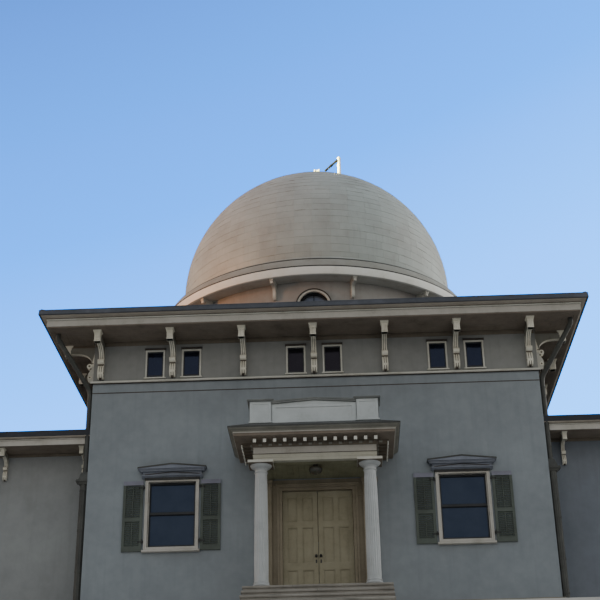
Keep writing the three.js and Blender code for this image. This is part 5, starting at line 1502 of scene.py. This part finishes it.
for side, hand in sides.items():
    x, y = hand * pipe["x"], pipe["y"]
    outX, outY, outZ = hand * pipe["outlet"][0], *pipe["outlet"][1:]
    top, elbow = Vector((outX, outY, outZ)), Vector((x, y, pipe["elbow"]))
    way = (elbow - top).normalized()
    bend = [tuple(elbow - way * 0.14 * (1 - i / 6) ** 2 - Vector((0, 0, 0.14)) * (i / 6) ** 2)
            for i in range(7)]
    line = [(outX, outY, 6.7147), (outX, outY, 6.63), tuple(top + way * 0.03)]
    line += bend + [(x, y, pipe["high"] - 0.02)]
    parts = [tube(line, pipe["radius"], 24)]
    for t in pipe["collars"]:
        p = top.lerp(elbow, t)
        parts.append(tube([tuple(p - way * 0.02), tuple(p + way * 0.02)], pipe["radius"] + 0.007, 24))
    for z in pipe["brackets"]:
        parts.append(tube([(x, y, z), (x, y, z + 0.03)], pipe["radius"] + 0.008, 24))
    # the hopper: a tapered box with a rim, and a neck on it that takes the pipe from the upper roof
    for low, high in (((5.21, 0.082, 3.345), (5.265, 0.1, 3.4)), ((5.28, 0.115, 3.4), (5.28, 0.115, 3.425)),
                      ((5.27, 0.106, 3.425), (5.27, 0.106, 3.449)),
                      ((5.23, 0.098, 3.449), (5.17, 0.07, 3.62))):
        parts.append(loft(pipeRing(hand, *low) + pipeRing(hand, *high), 2))
    lowX = hand * (pipe["x"] + 0.022)
    parts.append(tube([(lowX, y, 3.36), (lowX, y, 0.72), (lowX, y, 0.6003)], 0.0805, 60, 10, 0.007))
    for z in pipe["lowerCollars"]:
        parts.append(tube([(lowX, y, z), (lowX, y, z + 0.045)], 0.0855, 32))
    parts = [(solid, porchLead) for solid in parts]
    for z in pipe["brackets"]:
        parts.append((brick(*between(hand, onWall, pipe["x"]), y - 0.012, y + 0.012, z, z + 0.03), blackIronAndShade))
    makePiece("rainwater_pipe_" + side, parts, "building", ("downpipe_" + side,), edge=0.002)
print("pipes done")

# Camera, light and floor.

view = {"at": (0.585, -31.629, -5.5), "yaw": -1.898, "pitch": 26.308, "roll": -1.0447, "lens": 76.604}
yaw, pitch, roll = (math.radians(view[k]) for k in ("yaw", "pitch", "roll"))
ahead = Vector((math.sin(yaw) * math.cos(pitch), math.cos(yaw) * math.cos(pitch), math.sin(pitch)))
level = Vector((math.cos(yaw), -math.sin(yaw), 0))
above = level.cross(ahead)
rightWay = level * math.cos(roll) + above * math.sin(roll)
upWay = above * math.cos(roll) - level * math.sin(roll)
camera = addObject("camera", bpy.data.cameras.new("camera"))
camera.data.lens = view["lens"]
camera.data.sensor_width = 36
camera.matrix_world = Matrix((rightWay, upWay, -ahead)).transposed().to_4x4()
camera.location = view["at"]
bpy.context.scene.camera = camera


def addLight(name, kind, look, towards):
    light = addObject(name, bpy.data.lights.new(name, kind))
    light.data.energy = look["energy"]
    light.data.color = look["colour"]
    light.rotation_mode = "QUATERNION"
    light.rotation_quaternion = towards.to_track_quat("Z", "Y")
    return light


# a low warm sun grazes the left side, a broad pale glow comes from the right, the front has open shade
suns = {"sunLow": {"towards": (-0.97, 0.15, 0.2), "energy": 0.5, "colour": (1.0, 0.58, 0.32), "angle": 20},
        "glowRight": {"towards": (0.9, 0.28, 0.33), "energy": 1.85, "colour": (1.0, 0.98, 0.93), "angle": 60}}
for name, look in suns.items():
    addLight(name, "SUN", look, Vector(look["towards"])).data.angle = math.radians(look["angle"])

# the last direct sun comes low from the left: it warms the dome's flank and still glares on the mast
beams = {"domeSun": {"at": (-36.5, -17.0, 17.0), "aim": (0.0, 0.0, 11.6), "energy": 33500, "cone": 12.2,
                     "size": 3.0, "colour": (1.0, 0.43, 0.2), "blend": 0.12},
         "drumSun": {"at": (-35.0, -16.0, 6.5), "aim": (-2.9, -2.9, 9.0), "energy": 26000, "cone": 6.8,
                     "size": 1.5, "colour": (1.0, 0.42, 0.12), "blend": 1.0},
         "mastSun": {"at": (-13.0, -6.03, 14.6), "aim": (0.5, -1.1, 13.86), "energy": 200000, "cone": 3.0,
                     "size": 0.05, "colour": (0.97, 0.96, 0.4), "blend": 0.12}}
for name, look in beams.items():
    beam = addLight(name, "SPOT", look, Vector(look["at"]) - Vector(look["aim"]))
    beam.data.spot_size = math.radians(look["cone"])
    beam.data.spot_blend = look["blend"]
    beam.data.shadow_soft_size = look["size"]
    beam.location = look["at"]

evening = {"light": 1.0, "backdrop": 5.0, "slant": -0.3, "low": 0.3, "high": 0.7}
world = bpy.data.worlds.new("evening")
bpy.context.scene.world = world
world.use_nodes = True
tree = world.node_tree
tree.nodes.clear()
towards = addNode(tree, "ShaderNodeTexCoord").outputs["Generated"]
split = addNode(tree, "ShaderNodeSeparateXYZ", {"Vector": towards})
# what lights the building: pale all round the horizon, bluer overhead and dim from below
height = addNode(tree, "ShaderNodeMapRange", {"Value": split.outputs["Z"], "From Min": -1.0, "From Max": 1.0})
soft = addNode(tree, "ShaderNodeValToRGB", {"Fac": height.outputs[0]},
               stops=[(0.0, (0.075, 0.068, 0.055)), (0.48, (0.12, 0.11, 0.095)), (0.52, (0.9, 0.86, 0.785)),
                      (0.75, (0.77, 0.78, 0.76)), (1.0, (0.35, 0.49, 0.68))])
light = addNode(tree, "ShaderNodeBackground", {"Color": soft.outputs[0], "Strength": evening["light"]})
# what the camera sees behind it: this backdrop pales towards the horizon and towards the right
slant = addNode(tree, "ShaderNodeMath",
                {0: split.outputs["X"], 1: evening["slant"], 2: split.outputs["Z"]},
                operation="MULTIPLY_ADD")
paling = addNode(tree, "ShaderNodeMapRange",
                 {"Value": slant.outputs[0], "From Min": evening["low"], "From Max": evening["high"]})
blue = addNode(tree, "ShaderNodeValToRGB", {"Fac": paling.outputs[0]},
               stops=[(0.0, (0.03, 0.3, 1.0)), (0.3, (0.02, 0.24, 0.86)), (0.6, (0.006, 0.146, 0.6)),
                      (1.0, (0.017, 0.078, 0.3))])
backdrop = addNode(tree, "ShaderNodeBackground",
                   {"Color": blue.outputs[0], "Strength": evening["backdrop"]})
seen = addNode(tree, "ShaderNodeLightPath").outputs["Is Camera Ray"]
both = addNode(tree, "ShaderNodeMixShader", {0: seen, 1: light.outputs[0], 2: backdrop.outputs[0]})
addNode(tree, "ShaderNodeOutputWorld", {"Surface": both.outputs[0]})

floorMaterial, tree, where = startMaterial("PaleFloor")
specks = addNode(tree, "ShaderNodeTexNoise", {"Vector": where, "Scale": 1 / 1.5, "Detail": 4})
pale = addNode(tree, "ShaderNodeValToRGB", {"Fac": specks.outputs["Fac"]},
               stops=[(0.3, "#b9b8b4"), (0.7, "#c4c3bf")])
endMaterial(tree, colour=pale.outputs[0], roughness=0.9)
# the camera stands below the building, so the floor drops just short of the porch steps
for name, (x0, x1, y0, y1, z0, z1) in {"floorUpper": (-45, 45, -7.62, 45, -7.6, -0.002),
                                       "floorLower": (-45, 45, -75, -7.62, -7.6, -7.2)}.items():
    mesh = closedMesh(name, *brick(x0, x1, y0, y1, z0, z1))
    mesh.materials.append(floorMaterial)
    addObject(name, mesh)
print("camera, light and floor set")
